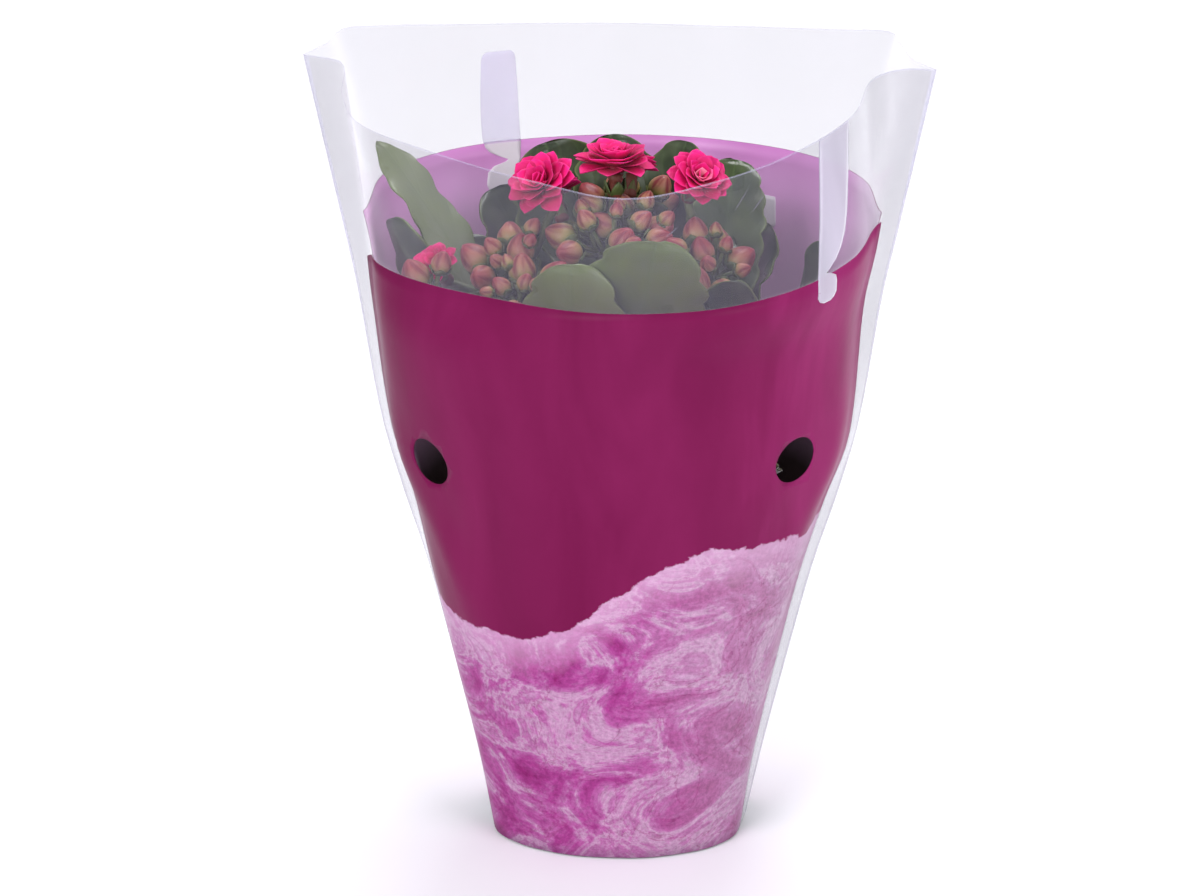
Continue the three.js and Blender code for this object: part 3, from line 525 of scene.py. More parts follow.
class Look:
    """A material with one Principled shader, and short calls to add nodes before it."""

    def __init__(self, name, **settings):
        self.material = bpy.data.materials.new(name)
        self.material.use_nodes = True
        self.tree = self.material.node_tree
        self.shader = self.tree.nodes["Principled BSDF"]
        for socket, value in settings.items():
            self.give(socket.replace("_", " "), value)

    def feed(self, node, socket, value):
        entry = node.inputs[socket]
        if isinstance(value, Field):
            self.tree.links.new(value.socket, entry)
        elif isinstance(value, tuple) and len(value) == 3 and entry.type == "RGBA":
            entry.default_value = (*value, 1)
        else:
            entry.default_value = value

    def give(self, socket, value):
        self.feed(self.shader, socket, value)

    def add(self, kind, inputs=None, **settings):
        node = self.tree.nodes.new("ShaderNode" + kind)
        for name, value in settings.items():
            setattr(node, name, value)
        for socket, value in (inputs or {}).items():
            self.feed(node, socket, value)
        return node

    def field(self, kind, inputs=None, output=0, **settings):
        return Field(self, self.add(kind, inputs, **settings).outputs[output])

    def place(self):
        return self.field("TexCoord", output="Object")

    def axes(self, where=None):
        node = self.add("SeparateXYZ", {"Vector": where or self.place()})
        return [Field(self, node.outputs[axis]) for axis in "XYZ"]

    def value(self, name):
        return self.field("Attribute", output="Fac", attribute_name=name)

    def stretched(self, *scale):
        return self.field("Mapping", {"Vector": self.place(), "Scale": scale})

    def cloud(self, scale, detail=3, rough=0.5, bend=0, where=None):
        sockets = {"Scale": scale, "Detail": detail, "Roughness": rough, "Distortion": bend}
        return self.field("TexNoise", {**sockets, "Vector": where or self.place()}, "Fac")

    def step(self, value, low, high, start=0.0, end=1.0):
        sockets = {"Value": value, "From Min": low, "From Max": high, "To Min": start, "To Max": end}
        return self.field("MapRange", sockets, "Result")

    def blend(self, share, a, b, kind="MIX"):
        return self.field("Mix", {6: a, 7: b, 0: share}, 2, data_type="RGBA", blend_type=kind)

    def ramp(self, share, *stops):
        node = self.add("ValToRGB", {"Fac": share})
        marks = node.color_ramp.elements
        while len(marks) < len(stops):
            marks.new(0.5)
        for mark, (spot, colour) in zip(marks, stops):
            mark.position = spot
            mark.color = (*colour, 1)
        return Field(self, node.outputs["Color"])

    def colour(self, value):
        self.give("Base Color", value)

    def bump(self, height, distance, strength=1.0):
        sockets = {"Height": height, "Distance": distance, "Strength": strength}
        self.give("Normal", self.field("Bump", sockets, "Normal"))


def print_look():
    """Glossy ink: plain magenta above, and below a soft wave a marbled ground with fine grain; both are
    paler towards +X as a painted reflection.
    """
    look = Look("printed_film", Roughness=0.34, Specular_IOR_Level=0.04)
    across, _, height = look.axes()
    streaks = look.cloud(22, 4, 0.55, 0.6, look.stretched(1.6, 1.6, 0.28))
    # The lift towards +X, past x 30 mm, is a painted reflection on the sleeve's right side.
    magenta = look.ramp(
        streaks * 0.7 + look.step(across, 0.03, 0.085) * 0.5,
        (0.22, (0.128, 0.0055, 0.048)),
        (0.5, (0.165, 0.0095, 0.066)),
        (0.85, (0.285, 0.0240, 0.132)),
    )

    ragged = (look.cloud(95, 5, 0.6) - 0.5) * 0.012
    shore = across * 0.3 + (across * 62.0).sine() * 0.008
    above = height - shore - ragged
    ground = look.step(above, 0.0985, 0.0978)

    marble = look.ramp(
        look.cloud(26, 12, 0.66, 1.5, look.stretched(1, 1, 1.5)),
        (0.32, (0.21, 0.016, 0.125)),
        (0.43, (0.30, 0.045, 0.21)),
        (0.50, (0.35, 0.100, 0.28)),
        (0.55, (0.43, 0.250, 0.39)),
        (0.60, (0.34, 0.100, 0.27)),
        (0.70, (0.46, 0.290, 0.44)),
    )
    # Greyer and paler towards +X: a painted reflection.
    marble = look.blend(look.step(across, 0.005, 0.06, 0.0, 0.42), marble, (0.44, 0.37, 0.43))
    vein = look.step(abs(look.cloud(38, 6, 0.6, 0.8) - 0.5), 0.012, 0.0)
    veined = look.blend(vein * 0.45, marble, (0.22, 0.02, 0.12))
    grain = look.step(look.cloud(620, 3, 0.75), 0.28, 0.72, 0.72, 1.2)
    grained = look.blend(1.0, veined, grain, "MULTIPLY")
    pale = look.blend(look.step(above, 0.082, 0.0975, 0.0, 0.5), grained, (0.56, 0.36, 0.52))
    look.colour(look.blend(ground, magenta, pale))
    look.bump(look.cloud(60), 0.0004, 0.5)
    return look.material


def print_back_look():
    """The print seen from inside, paler through its white ground and brightened by painted light from
    behind, with painted shade low down in the sleeve.
    """
    look = Look("printed_film_inside", Roughness=0.35, Specular_IOR_Level=0.25)
    across, _, height = look.axes()
    streaks = look.cloud(18, 3, 0.5, 0.4, look.stretched(1.6, 1.6, 0.3))
    # Painted light: darker in the top band and brighter deeper down, standing in for light through the
    # film from behind.
    pink_and_painted_shading = look.ramp(
        look.step(height, 0.212, 0.150) + (streaks - 0.5) * 0.2,
        (0.0, (0.48, 0.150, 0.45)),
        (0.28, (0.88, 0.42, 0.85)),
        (0.5, (1.0, 0.58, 0.97)),
        (1.0, (1.0, 0.64, 0.98)),
    )
    # Greyish lavender towards +X: the painted glare of the front film seen edge on.
    pale = look.blend(look.step(across, 0.070, 0.082, 0.0, 0.8), pink_and_painted_shading, (0.64, 0.62, 0.69))
    # Near black low down: painted shade in the sleeve.
    look.colour(look.blend(look.step(height, 0.145, 0.110), pale, (0.060, 0.040, 0.042)))
    return look.material


def painted_reflection_streaks(look, dark, light):
    """Long faint streaks up the film, between two colours: painted reflections."""
    streaks = look.cloud(14, 3, 0.5, 0.4, look.stretched(2.4, 2.4, 0.25))
    return look.ramp(streaks, (0.35, dark), (0.62, light))


def clear_look(name, colour, alpha, glare=0.08):
    """Film that is thin to look through, denser where it is seen edge on, as glass is, and paler there
    with a painted reflection.
    """
    look = Look(name, Roughness=0.12, Specular_IOR_Level=0.3)
    edge_on = look.field("LayerWeight", {"Blend": 0.5}, "Facing").math("POWER", 4.0)
    # Faint streaks up the film: painted reflections.
    body = painted_reflection_streaks(look, tuple(0.72 * channel for channel in colour), colour)
    # Paler where seen edge on: a painted reflection.
    look.colour(look.blend(edge_on.math("MULTIPLY", 1.6, limit=True), body, (0.88, 0.85, 0.96)))
    crease_and_glint = creases_and_glints(look)
    # Denser along the creases: a painted glint.
    look.give("Alpha", (edge_on * glare + alpha).or_more(crease_and_glint * 0.5))
    look.bump(crease_and_glint, 0.001, 0.6)
    look.material.surface_render_method = "BLENDED"
    return look.material


def creases_and_glints(look):
    """Short sharp creases in the front film, as soft strokes between two points, bumped and drawn denser
    as a painted glint.
    """
    marks = 0.0
    for middle, length, width, turn in CREASES:
        where = look.field("Mapping", {
            "Vector": look.place(),
            "Location": tuple(number * MM for number in middle),
            "Rotation": (0, radians(turn), 0),
            "Scale": (length / 2 * MM, 0.02, width / 2 * MM),
        }, vector_type="TEXTURE")
        near_x, near_y, near_z = (look.step(abs(axis), 1.0, 0.3) for axis in look.axes(where))
        marks = (near_x * near_y * near_z).or_more(marks)
    return marks


def tab_behind_look():
    """The back label tab, lit from behind above the print and dense where it crosses the print."""
    look = Look("film_tab_behind", Roughness=0.2, Specular_IOR_Level=0.4)
    over_print = look.step(look.axes()[2], 0.2065, 0.2055)
    lit = painted_reflection_streaks(look, (0.62, 0.50, 0.95), (0.70, 0.58, 1.0))
    look.colour(look.blend(over_print, lit, (0.98, 0.92, 1.0)))
    look.give("Alpha", over_print * 0.66 + 0.22)
    look.material.surface_render_method = "BLENDED"
    return look.material


def leaf_look():
    """Fleshy green with side veins, a midrib and a paler margin, and a pale grey painted sheen on some
    leaves.
    """
    look = Look("leaf", Specular_IOR_Level=0.45, Coat_Weight=0.16, Coat_Roughness=0.16)
    along, across, tone = map(look.value, Shape.VALUES)
    aside = abs(across)
    ribs = look.step((along * 46.0 - aside * 13.0).sine(), 0.72, 1.0)
    lines = (ribs * 0.35).or_more(look.step(aside, 0.07, 0.0))
    patches = look.cloud(55, 5, 0.6, 0.5)
    look.give("Roughness", look.step(look.cloud(42, 2), 0.4, 0.62, 0.25, 0.46))
    green = look.ramp(
        patches * 0.6 + tone * 0.65,
        (0.20, (0.009, 0.018, 0.007)),
        (0.55, (0.028, 0.046, 0.017)),
        (1.0, (0.112, 0.160, 0.022)),
    )
    # Tone above 1: a pale grey painted sheen, in patches.
    painted_sheen = look.step(tone, 1.0, 2.0, 0.0, 0.9) * look.step(patches, 0.35, 0.65, 0.5, 1.3)
    dim = look.blend(painted_sheen, green, (0.24, 0.26, 0.20))
    dusty = look.blend(look.step(look.cloud(160, 1), 0.45, 0.75, 0.0, 0.35), dim, (0.12, 0.15, 0.08))
    veined = look.blend(lines * 0.22, dusty, (0.10, 0.17, 0.055))
    look.colour(look.blend(look.step(aside, 0.90, 0.99) * 0.6, veined, (0.15, 0.20, 0.055)))
    look.bump(look.cloud(75, 1) - lines * 0.5, 0.0005, 0.3)
    return look.material


def petal_look():
    """Velvety pink with fine lengthwise veins, darker towards the heart, partly as painted shade, and a
    painted highlight along the rim.
    """
    look = Look("petal", Roughness=0.5, Specular_IOR_Level=0.25, Sheen_Weight=0.04, Sheen_Roughness=0.5)
    along, across, tone = map(look.value, Shape.VALUES)
    lengthwise = look.field("CombineXYZ", {0: across * 2.6, 1: along * 0.5})
    # Darker towards the heart: partly the petal's own colour, partly painted shade.
    pink_and_painted_shading = look.ramp(
        along,
        (0.0, (0.16, 0.002, 0.014)),
        (0.35, (0.42, 0.002, 0.055)),
        (0.72, (0.78, 0.004, 0.165)),
        (0.97, (0.90, 0.014, 0.26)),
    )
    # Lighter rim: a painted highlight.
    painted_rim_highlight = look.blend(look.step(abs(across), 0.82, 1.0, 0.0, 0.35), pink_and_painted_shading, (0.86, 0.06, 0.33))
    veins = look.step(look.cloud(5, 4, 0.5, 0, lengthwise), 0.48, 0.75)
    veined = look.blend(veins * 0.25, painted_rim_highlight, (0.88, 0.02, 0.24))
    shaded = look.blend(look.step(tone, 1.0, 0.0, 0.0, 0.45), veined, (0.24, 0.001, 0.030))
    look.colour(look.blend(look.step(tone, 1.0, 2.0, 0.0, 0.85), shaded, (0.86, 0.36, 0.50)))
    look.bump(look.cloud(2200, 2, 0.6), 0.0002, 0.4)
    return look.material


def bud_look():
    """Waxy bud: green-yellow at its foot and dusty red at its tip, with darker seams."""
    look = Look("bud", Roughness=0.4, Specular_IOR_Level=0.4)
    along, across, tone = map(look.value, Shape.VALUES)
    skin = look.ramp(
        along + (look.cloud(240, 4, 0.6) - 0.5) * 0.55 + (tone - 0.5) * 0.35,
        (0.02, (0.15, 0.19, 0.045)),
        (0.30, (0.36, 0.27, 0.10)),
        (0.58, (0.43, 0.19, 0.12)),
        (0.95, (0.33, 0.050, 0.065)),
    )
    look.colour(look.blend(look.step(across, 0.05, 0.75, 0.0, 0.85), skin, (0.20, 0.010, 0.032)))
    look.bump(look.cloud(1500, 2), 0.0002, 0.4)
    return look.material


def stalk_look():
    """Green stalk with a reddish blush."""
    look = Look("stalk", Roughness=0.5, Specular_IOR_Level=0.4)
    green = look.ramp(
        look.cloud(120, 3, 0.6),
        (0.35, (0.060, 0.090, 0.026)),
        (0.62, (0.11, 0.13, 0.040)),
        (0.8, (0.16, 0.085, 0.045)),
    )
    look.colour(look.blend(look.value("tone"), green, (0.16, 0.040, 0.030)))
    look.bump(look.cloud(800, 2), 0.0002, 0.4)
    return look.material


def pot_look():
    """Thin dark moulded plastic."""
    look = Look("pot_plastic", Roughness=0.46, Specular_IOR_Level=0.4)
    clouds = look.cloud(70, 4, 0.6)
    look.colour(look.ramp(clouds, (0.3, (0.017, 0.016, 0.017)), (0.7, (0.034, 0.031, 0.031))))
    look.bump(look.cloud(700, 3, 0.6), 0.0002, 0.5)
    return look.material


def soil_look():
    """Dark fibrous peat, with pale crumbs where the tone is 1."""
    look = Look("potting_mix", Roughness=0.95, Specular_IOR_Level=0.2)
    peat = look.ramp(
        look.cloud(260, 6, 0.7),
        (0.3, (0.012, 0.007, 0.004)),
        (0.55, (0.042, 0.024, 0.013)),
        (0.8, (0.115, 0.068, 0.036)),
    )
    look.colour(look.blend(look.value("tone"), peat, (0.62, 0.60, 0.55)))
    look.bump(look.cloud(900, 5, 0.7), 0.001, 0.8)
    return look.material


# Film
def finned_half(half_width, half_depth, left_fin, right_fin, towards):
    """Half section of a panel: a round body between two flat fins that meet the other panel."""
    left_edge, right_edge = (sqrt(FILM["margin"] ** 2 - fin ** 2) for fin in (left_fin, right_fin))
    points = [(half_width, 0)]
    for share in shares(8):
        fin = right_fin if share < 0.5 else left_fin
        aside = mix(right_edge, left_edge, share)
        depth = aside + (half_depth - aside) * sin(pi * share)
        points.append(((half_width - fin) * cos(pi * share), towards * depth))
    points.append((-half_width, 0))
    return points if towards > 0 else points[::-1]


for panel in PANELS.values():
    sections = [(height, finned_half(*sizes, panel["towards"])) for height, *sizes in SECTIONS]
    panel["levels"] = [(height, Curve(points)) for height, points in [*sections, (WAIST, panel["waist"])]]
    panel["rim_curve"] = Curve(panel["rim"])
    panel["columns"] = {}


def panel_width(height):
    return FILM["foot_width"] + FILM["widening"] * height


def rim_height(panel, share):
    from_left = share if panel["towards"] < 0 else 1 - share
    dip, power = panel["dip"]
    return mix(*FILM["tips"], from_left) - dip * (1 - abs(2 * share - 1) ** power)


def print_height(panel, share):
    corner = max(0, 1 - share / CORNER_SHARE) ** 2
    return mix(*panel["print_top"], share) - panel["corner_drop"] * corner


def margin_share(height):
    return FILM["margin"] / panel_width(height)


def film_column(panel, share):
    """The points of one upright line of the film, with a slope at each that keeps the line smooth."""
    key = round(share, 6)
    if key not in panel["columns"]:
        line = [(height, curve.at(share)) for height, curve in panel["levels"]]
        line.append((rim_height(panel, share), panel["rim_curve"].at(share)))
        slopes = []
        for spot in range(len(line)):
            low, high = line[max(spot - 1, 0)], line[min(spot + 1, len(line) - 1)]
            slopes.append((high[1] - low[1]) / (high[0] - low[0]))
        panel["columns"][key] = (line, slopes)
    return panel["columns"][key]


def film_raw(panel, share, height):
    """The film's place before its folds."""
    line, slopes = film_column(panel, share)
    spot = 0
    while spot < len(line) - 2 and line[spot + 1][0] < height:
        spot += 1
    (low, start), (high, end) = line[spot], line[spot + 1]
    tall = high - low
    t = clamp((height - low) / tall)
    place = start + (end - start) * (t * t * (3 - 2 * t))
    place += slopes[spot] * tall * (t ** 3 - 2 * t * t + t)
    place += slopes[spot + 1] * tall * (t ** 3 - t * t)
    return Vector((place.x, place.y, height))


def film_out(panel, share, height):
    """The level way out of the film."""
    step = 0.004
    along = film_raw(panel, min(share + step, 1), height) - film_raw(panel, max(share - step, 0), height)
    return Vector((along.y, -along.x, 0)).normalized()


def film_swell(panel, share, height):
    """How far the film's soft folds stand out at a place."""
    calm = 1 - abs(2 * share - 1) ** 6
    soft, fine = (
        0.5 + 0.5 * noise.noise(Vector((share * along, height * upward, panel["seed"] + shift)))
        for (along, upward), shift in ((RIPPLE["wide"], 0), (RIPPLE["fine"], 5))
    )
    swell = RIPPLE["rise"] * (soft + RIPPLE["fine_share"] * fine)
    wide = panel_width(height)
    for (share_a, low), (share_b, high), width, rise in panel["folds"]:
        start = Vector((share_a * wide, low))
        fold = Vector((share_b * wide, high)) - start
        here = Vector((share * wide, height)) - start
        along = clamp(here.dot(fold) / fold.length_squared)
        aside = (here - fold * along).length
        fade = sin(pi * clamp(along, 0.02, 0.98)) ** 0.6
        swell += rise * fade * exp(-((aside / width) ** 2))
    return calm * swell


def film_pair(panel, share, height, proud=0.0):
    """The outer and the inner point of the film at a place, or of a layer that is proud of it."""
    out = film_out(panel, share, height)
    base = film_raw(panel, share, height) + out * film_swell(panel, share, height)
    base.y += panel["towards"] * FILM["apart"]
    return base + out * (FILM["thick"] + proud), base - out * proud


def film_grid(panel, columns, rows, share_at, height_at):
    grid = []
    for i in range(columns + 1):
        places = [share_at(i, j) for j in range(rows + 1)]
        grid.append([film_pair(panel, share, height_at(share, j)) for j, share in enumerate(places)])
    return grid


def row_height(panel, share, row):
    """Height of a grid row: up the print, then up the clear film, with a narrow last row at its edge."""
    printed = print_height(panel, share)
    if row <= PRINT_ROWS:
        return mix(FILM["foot"], printed, row / PRINT_ROWS)
    rim = rim_height(panel, share)
    if row == PRINT_ROWS + CLEAR_ROWS:
        return rim
    return mix(printed, rim - FILM["edge_band"], (row - PRINT_ROWS) / (CLEAR_ROWS - 1))


def printed_film(panel):
    def share_at(i, j):
        edge = margin_share(mix(0, WAIST, j / PRINT_ROWS)) + FILM["gap_beside"]
        return mix(edge, 1 - edge, i / PRINT_COLUMNS)

    def height_at(share, j):
        return row_height(panel, share, j) - (FILM["gap_above"] if j == PRINT_ROWS else 0)

    shape = Shape()
    grid = film_grid(panel, PRINT_COLUMNS, PRINT_ROWS, share_at, height_at)
    shape.sheet(grid, back_slot=1, flat_rim=True)
    return shape


def clear_film(panel):
    """The clear margins beside the print and the clear film above it, with denser edges, brighter as a
    painted highlight.
    """
    rows = PRINT_ROWS + CLEAR_ROWS
    columns = PRINT_COLUMNS + 2 * SEAM_COLUMNS

    def share_at(i, j):
        edge = margin_share(mix(0, WAIST, min(1, j / PRINT_ROWS)))
        seam = edge * FILM["seam_band"] / FILM["margin"]
        if i > columns - SEAM_COLUMNS:
            return 1 - share_at(columns - i, j)
        if i >= SEAM_COLUMNS:
            return mix(edge, 1 - edge, (i - SEAM_COLUMNS) / PRINT_COLUMNS)
        return 0 if i == 0 else mix(seam, edge, (i - 1) / (SEAM_COLUMNS - 1))

    def keep(i, j):
        return i < SEAM_COLUMNS or i >= columns - SEAM_COLUMNS or j >= PRINT_ROWS

    def slot(i, j):
        return 1 if i in (0, columns - 1) or j == rows - 1 else 0

    grid = film_grid(panel, columns, rows, share_at, lambda share, j: row_height(panel, share, j))
    shape = Shape()
    shape.sheet(grid, keep, slot, flat_rim=True)
    return shape


def tab_sheet(name):
    """A bare label tab printed on the film, just proud of it on both faces."""
    panel_name, proud, outline = TABS[name]
    panel = PANELS[panel_name]
    top, start, _ = outline[0]
    heights = [top]
    for (high, _, _), (low, _, _) in zip(outline, outline[1:]):
        heights += taper(high, low, max(1, round((high - low) / TAB_STEP)))[1:]
    heights.reverse()
    left = [(height, first) for height, first, _ in reversed(outline)]
    right = [(height, last) for height, _, last in reversed(outline)]
    grid = []
    for across in shares(TAB_COLUMNS):
        grid.append([])
        for height in heights:
            share = mix(through(left, height), through(right, height), across)
            if name == "front":
                rise = rim_height(panel, share) - rim_height(panel, start)
                height += rise * clamp((height - FLARE) / (top - FLARE))
            grid[-1].append(film_pair(panel, share, height, proud))
    shape = Shape()
    shape.sheet(grid, flat_rim=True)
    return shape


def cut_round(obj, hole, place, out):
    """Cuts a round hole through a piece."""
    radius, depth = hole["radius"] * MM, hole["cut"] * MM
    bpy.ops.mesh.primitive_cylinder_add(vertices=hole["sides"], radius=radius, depth=depth)
    cutter = bpy.context.object
    turn = out.to_track_quat("Z", "Y").to_matrix().to_4x4()
    cutter.matrix_world = Matrix.Translation(place * MM) @ turn
    cut = obj.modifiers.new("hole", "BOOLEAN")
    cut.operation = "DIFFERENCE"
    cut.solver = "EXACT"
    cut.object = cutter
    bpy.context.view_layer.objects.active = obj
    bpy.ops.object.modifier_apply(modifier=cut.name)
    bpy.data.objects.remove(cutter)


def punch(obj, panel):
    for spot in HOLES["places"]:
        cut_round(obj, HOLES, film_raw(panel, *spot), film_out(panel, *spot))


# Plant
def unit_rotated(vector, axis, degrees):
    return Quaternion(axis, radians(degrees)) @ vector


class Leaf(Walk):
    """A leaf bowed from its root on the stem to its tip."""

    def __init__(self, root, tip, width, turn, bow):
        self.width, self.turn = width, turn
        self.away = Vector((tip.x - root.x, tip.y - root.y, 0)).normalized()
        self.control = (root, (root + tip) / 2 - self.away * bow + UP * bow, tip)
        self.measure()

    def raw(self, t):
        a, b, c = self.control
        return a * (1 - t) ** 2 + b * (2 * t * (1 - t)) + c * t * t

    def frame(self, along):
        """Centre of the rib, the way across the blade and the way out of its upper face."""
        t = self.spot(along)
        a, b, c = self.control
        forward = ((b - a) * (1 - t) + (c - b) * t).normalized()
        aside = unit_rotated(UP.cross(self.away), forward, self.turn)
        return self.raw(t), aside, forward.cross(aside).normalized()

    def half(self, blade):
        """Half width at a share of the blade, not less than the stalk's in the lower half."""
        power = LEAF["roundness"]
        half = self.width / 2 * max(0, 1 - abs(2 * blade ** 0.9 - 1) ** power) ** (1 / power)
        return half if blade >= 0.5 else max(LEAF["stalk_width"] / 2, half)


def settled(root, tip, width, turn, bow, steps, corners):
    """The leaf as the solid has it, or none if it found no room."""
    best, most = None, 0
    for shorten, lift, swing in NUDGES:
        reach = unit_rotated((tip - root) * shorten, UP, swing) + UP * lift
        leaf = Leaf(root, root + reach, width * shorten, turn, bow)
        probes = []
        for share in shares(steps - 1)[1:]:
            centre, _, face = leaf.frame(mix(LEAF["stalk_share"], 1, share))
            probes += [centre + face * MATCH["skin"], centre - face * MATCH["skin"]]
        found = sum(corners.find(probe * MM)[2] < MATCH["near"] * MM for probe in probes)
        if found > most:
            best, most = leaf, found
        if found > MATCH["sure"] * len(probes):
            break
    return best if most >= MATCH["least"] * len(probes) else None


def add_leaf(shape, leaf, steps, tone, draw):
    """Fleshy blade with a scalloped, waved edge."""
    shift = draw() * 0.5
    grid = []
    for share in shares(LEAF_ROWS):
        if share < LEAF["stalk_rows"]:
            along, blade = LEAF["stalk_share"] * share / LEAF["stalk_rows"], 0
        else:
            blade = min(sin((share - LEAF["stalk_rows"]) / (1 - LEAF["stalk_rows"]) * pi / 2), 0.9985)
            along = mix(LEAF["stalk_share"], 1, blade)
        centre, aside, face = leaf.frame(along)
        half = leaf.half(blade)
        lobes = abs(sin(pi * (LEAF["scallops"] * blade ** 1.25 + shift)))
        deep = clamp((blade - 0.14) / 0.2) * clamp((0.985 - blade) / 0.1)
        edge = 1 - LEAF["scallop_depth"] * deep * (1 - lobes) * 2
        swing = sin(mix(1, steps, blade) * LEAF["wave_turn"] + leaf.turn)
        wave = LEAF["wave"] * swing * clamp(blade / 0.2)
        spine = mix(LEAF["stalk_thick"], LEAF["rib_thick"], clamp(blade / 0.3))
        rim = mix(spine * 0.5, LEAF["rim_thick"], clamp(blade / 0.15))
        thin = clamp((1 - blade) / 0.04, 0.35, 1)
        grid.append([])
        for column in shares(LEAF_COLUMNS):
            side = sin((2 * column - 1) * pi / 2)
            reach = half * mix(1, edge, abs(side) ** 4)
            lift = LEAF["fold"] * half * abs(side) ** 1.4 + side * abs(side) ** 1.5 * wave
            place = centre + aside * (side * reach) + face * lift
            thick = mix(rim, spine, max(0, 1 - side * side) ** 0.7) * thin / 2
            groove = LEAF["groove"] * exp(-((side * half / 1.1) ** 2)) * clamp(blade / 0.2)
            grid[-1].append((place + face * (thick - groove), place - face * thick, (along, side, tone)))
    shape.sheet(grid)


stem_curves = {
    name: Curve([(*foot, SOIL["hole_floor"] + GAP), (*foot, SOIL["crown"] + 4), top])
    for name, (foot, top, _) in STEMS.items()
}


def stem_point(name, height):
    points = [stem_curves[name].raw(share) for share in shares(60)]
    return min(points, key=lambda place: abs(place.z - height))


def node_corners(node):
    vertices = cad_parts[node].data.vertices
    tree = kdtree.KDTree(len(vertices))
    for number, vertex in enumerate(vertices):
        tree.insert(vertex.co, number)
    tree.balance()
    return tree


def leafy_stem(name, draw):
    """The leaves of a stem, and the stem's own skin."""
    _, top, wishes = STEMS[name]
    corners = node_corners("leafy_stem_" + name)
    leaves, stalk = Shape(), Shape()
    for start, tip, width, turn, bow, *tone in wishes:
        leaf = settled(stem_point(name, start), Vector(tip), width, turn, bow, VISIBLE_STEPS, corners)
        if leaf:
            dark = DARK_TONES["visible"] * draw()
            add_leaf(leaves, leaf, VISIBLE_STEPS, tone[0] if tone else dark, draw)
    for start, bearing, reach, rise in LOWER_LEAVES:
        root = stem_point(name, start)
        tip = root + polar(reach, atan2(top[1], top[0]) + radians(bearing), rise)
        leaf = settled(root, tip, LOWER["width"], LOWER["turn"], LOWER["bow"], LOWER["steps"], corners)
        if leaf:
            add_leaf(leaves, leaf, LOWER["steps"], DARK_TONES["lower"] * draw(), draw)
    path = [stem_curves[name].at(share) for share in shares(STEM["steps"])]
    stalk.tube(path, taper(STEM["foot_radius"], STEM["top_radius"], STEM["steps"]), STEM["sides"])
    return leaves, stalk


def basis(at, facing):
    turn = UP.rotation_difference(Vector(facing).normalized())
    return Matrix.Translation(Vector(at)) @ turn.to_matrix().to_4x4()


def petal_grid(reach, width, pitch, curl, cup, twist, tone):
    """Corners of one petal that leaves the flower's heart along +X."""
    grid = []
    angle = radians(pitch)
    for share in shares(PETAL["rows"]):
        along = mix(PETAL["root"], 1, share)
        rise = PETAL["belly"] * sin(pi * share) + curl * share ** 3
        half = width / 2 * through(PETAL_OUTLINE, share)
        lean = atan2(curl * 3 * share ** 2, 1) + angle
        forward, upward = along * cos(angle) - rise * sin(angle), along * sin(angle) + rise * cos(angle)
        centre = Vector((forward, 0, upward)) * reach
        face = Vector((-sin(lean), 0, cos(lean)))
        grid.append([])
        for column in shares(PETAL["columns"]):
            side = 2 * column - 1
            lift = cup * half * side * side + twist * side * half * share
            place = centre + Vector((0, side * half, 0)) + face * lift
            thick = PETAL["thick"] / 2 * (1 - 0.6 * abs(side) ** 3) * (1 - 0.5 * share)
            grid[-1].append((place + face * thick, place - face * thick, (share, side, tone)))
    return grid


def bloom_shape(number):
    """Rows of loose petals round a small heart."""
    at, facing, reach, opening, _ = BLOOMS[number - 1]
    draw = random.Random(100 + number)
    matrix = basis(at, facing)
    shape = Shape()
    turn = draw.uniform(0, 60)
    for count, pitch, long, wide, needed in PETAL_ROWS:
        if opening < needed:
            continue
        turn += PETAL["row_turn"]
        for petal in range(count):
            size = reach * long * draw.uniform(0.92, 1.04)
            tilt = pitch + draw.uniform(-6, 7)
            curl = draw.uniform(0.02, 0.15)
            cup, twist = draw.uniform(0.15, 0.4), draw.uniform(-0.22, 0.22)
            pale = number == PALE_BLOOM and pitch > PALE_PITCH
            tone = draw.uniform(0, 2) if pale else draw.random()
            spin = radians(turn + 360 * petal / count + draw.uniform(-8, 8))
            place = matrix @ Matrix.Rotation(spin, 4, "Z")
            grid = petal_grid(size, reach * wide * PETAL["wider"], tilt, curl, cup, twist, tone)
            shape.sheet([[(place @ outer, place @ inner, values) for outer, inner, values in row]
                         for row in grid])
    radius = HEART["share"] * reach
    rings = [[matrix @ polar(radius * share, t, height) for t in around(16)]
             for share, height in HEART["profile"]]
    # The heart takes the colour of the petal's foot: deep red with painted shade.
    shape.loft(rings, matrix @ (UP * -HEART["depth"]), matrix @ (UP * HEART["top"]), (0.05, 0, 0))
    return shape


def dome_height(x, y):
    return DOME["top"] - DOME["fall"] * ((x - DOME["middle"][0]) ** 2 + (y - DOME["middle"][1]) ** 2)


def bud_seats(head, draw):
    """Where the buds of a head sit, the largest first, by the same rule as in the solids."""
    (middle_x, middle_y), (spread_x, spread_y), count, lift = head
    seats = []
    for bud in range(count):
        radius = mix(BUD["largest"], BUD["smallest"], bud / count)
        for _ in range(BUD["tries"]):
            bearing = draw() * 2 * pi
            out = sqrt(draw())
            x = middle_x + out * spread_x * cos(bearing)
            y = middle_y + out * spread_y * sin(bearing)
            drop = 2 * radius * BUD["slender"] + 3 * draw()
            seat = Vector((x, y, dome_height(x, y) + lift - drop))
            if any((other - seat).length < (size + radius) * BUD["spacing"] for other, size in seats):
                continue
            seats.append((seat, radius))
            break
    return seats


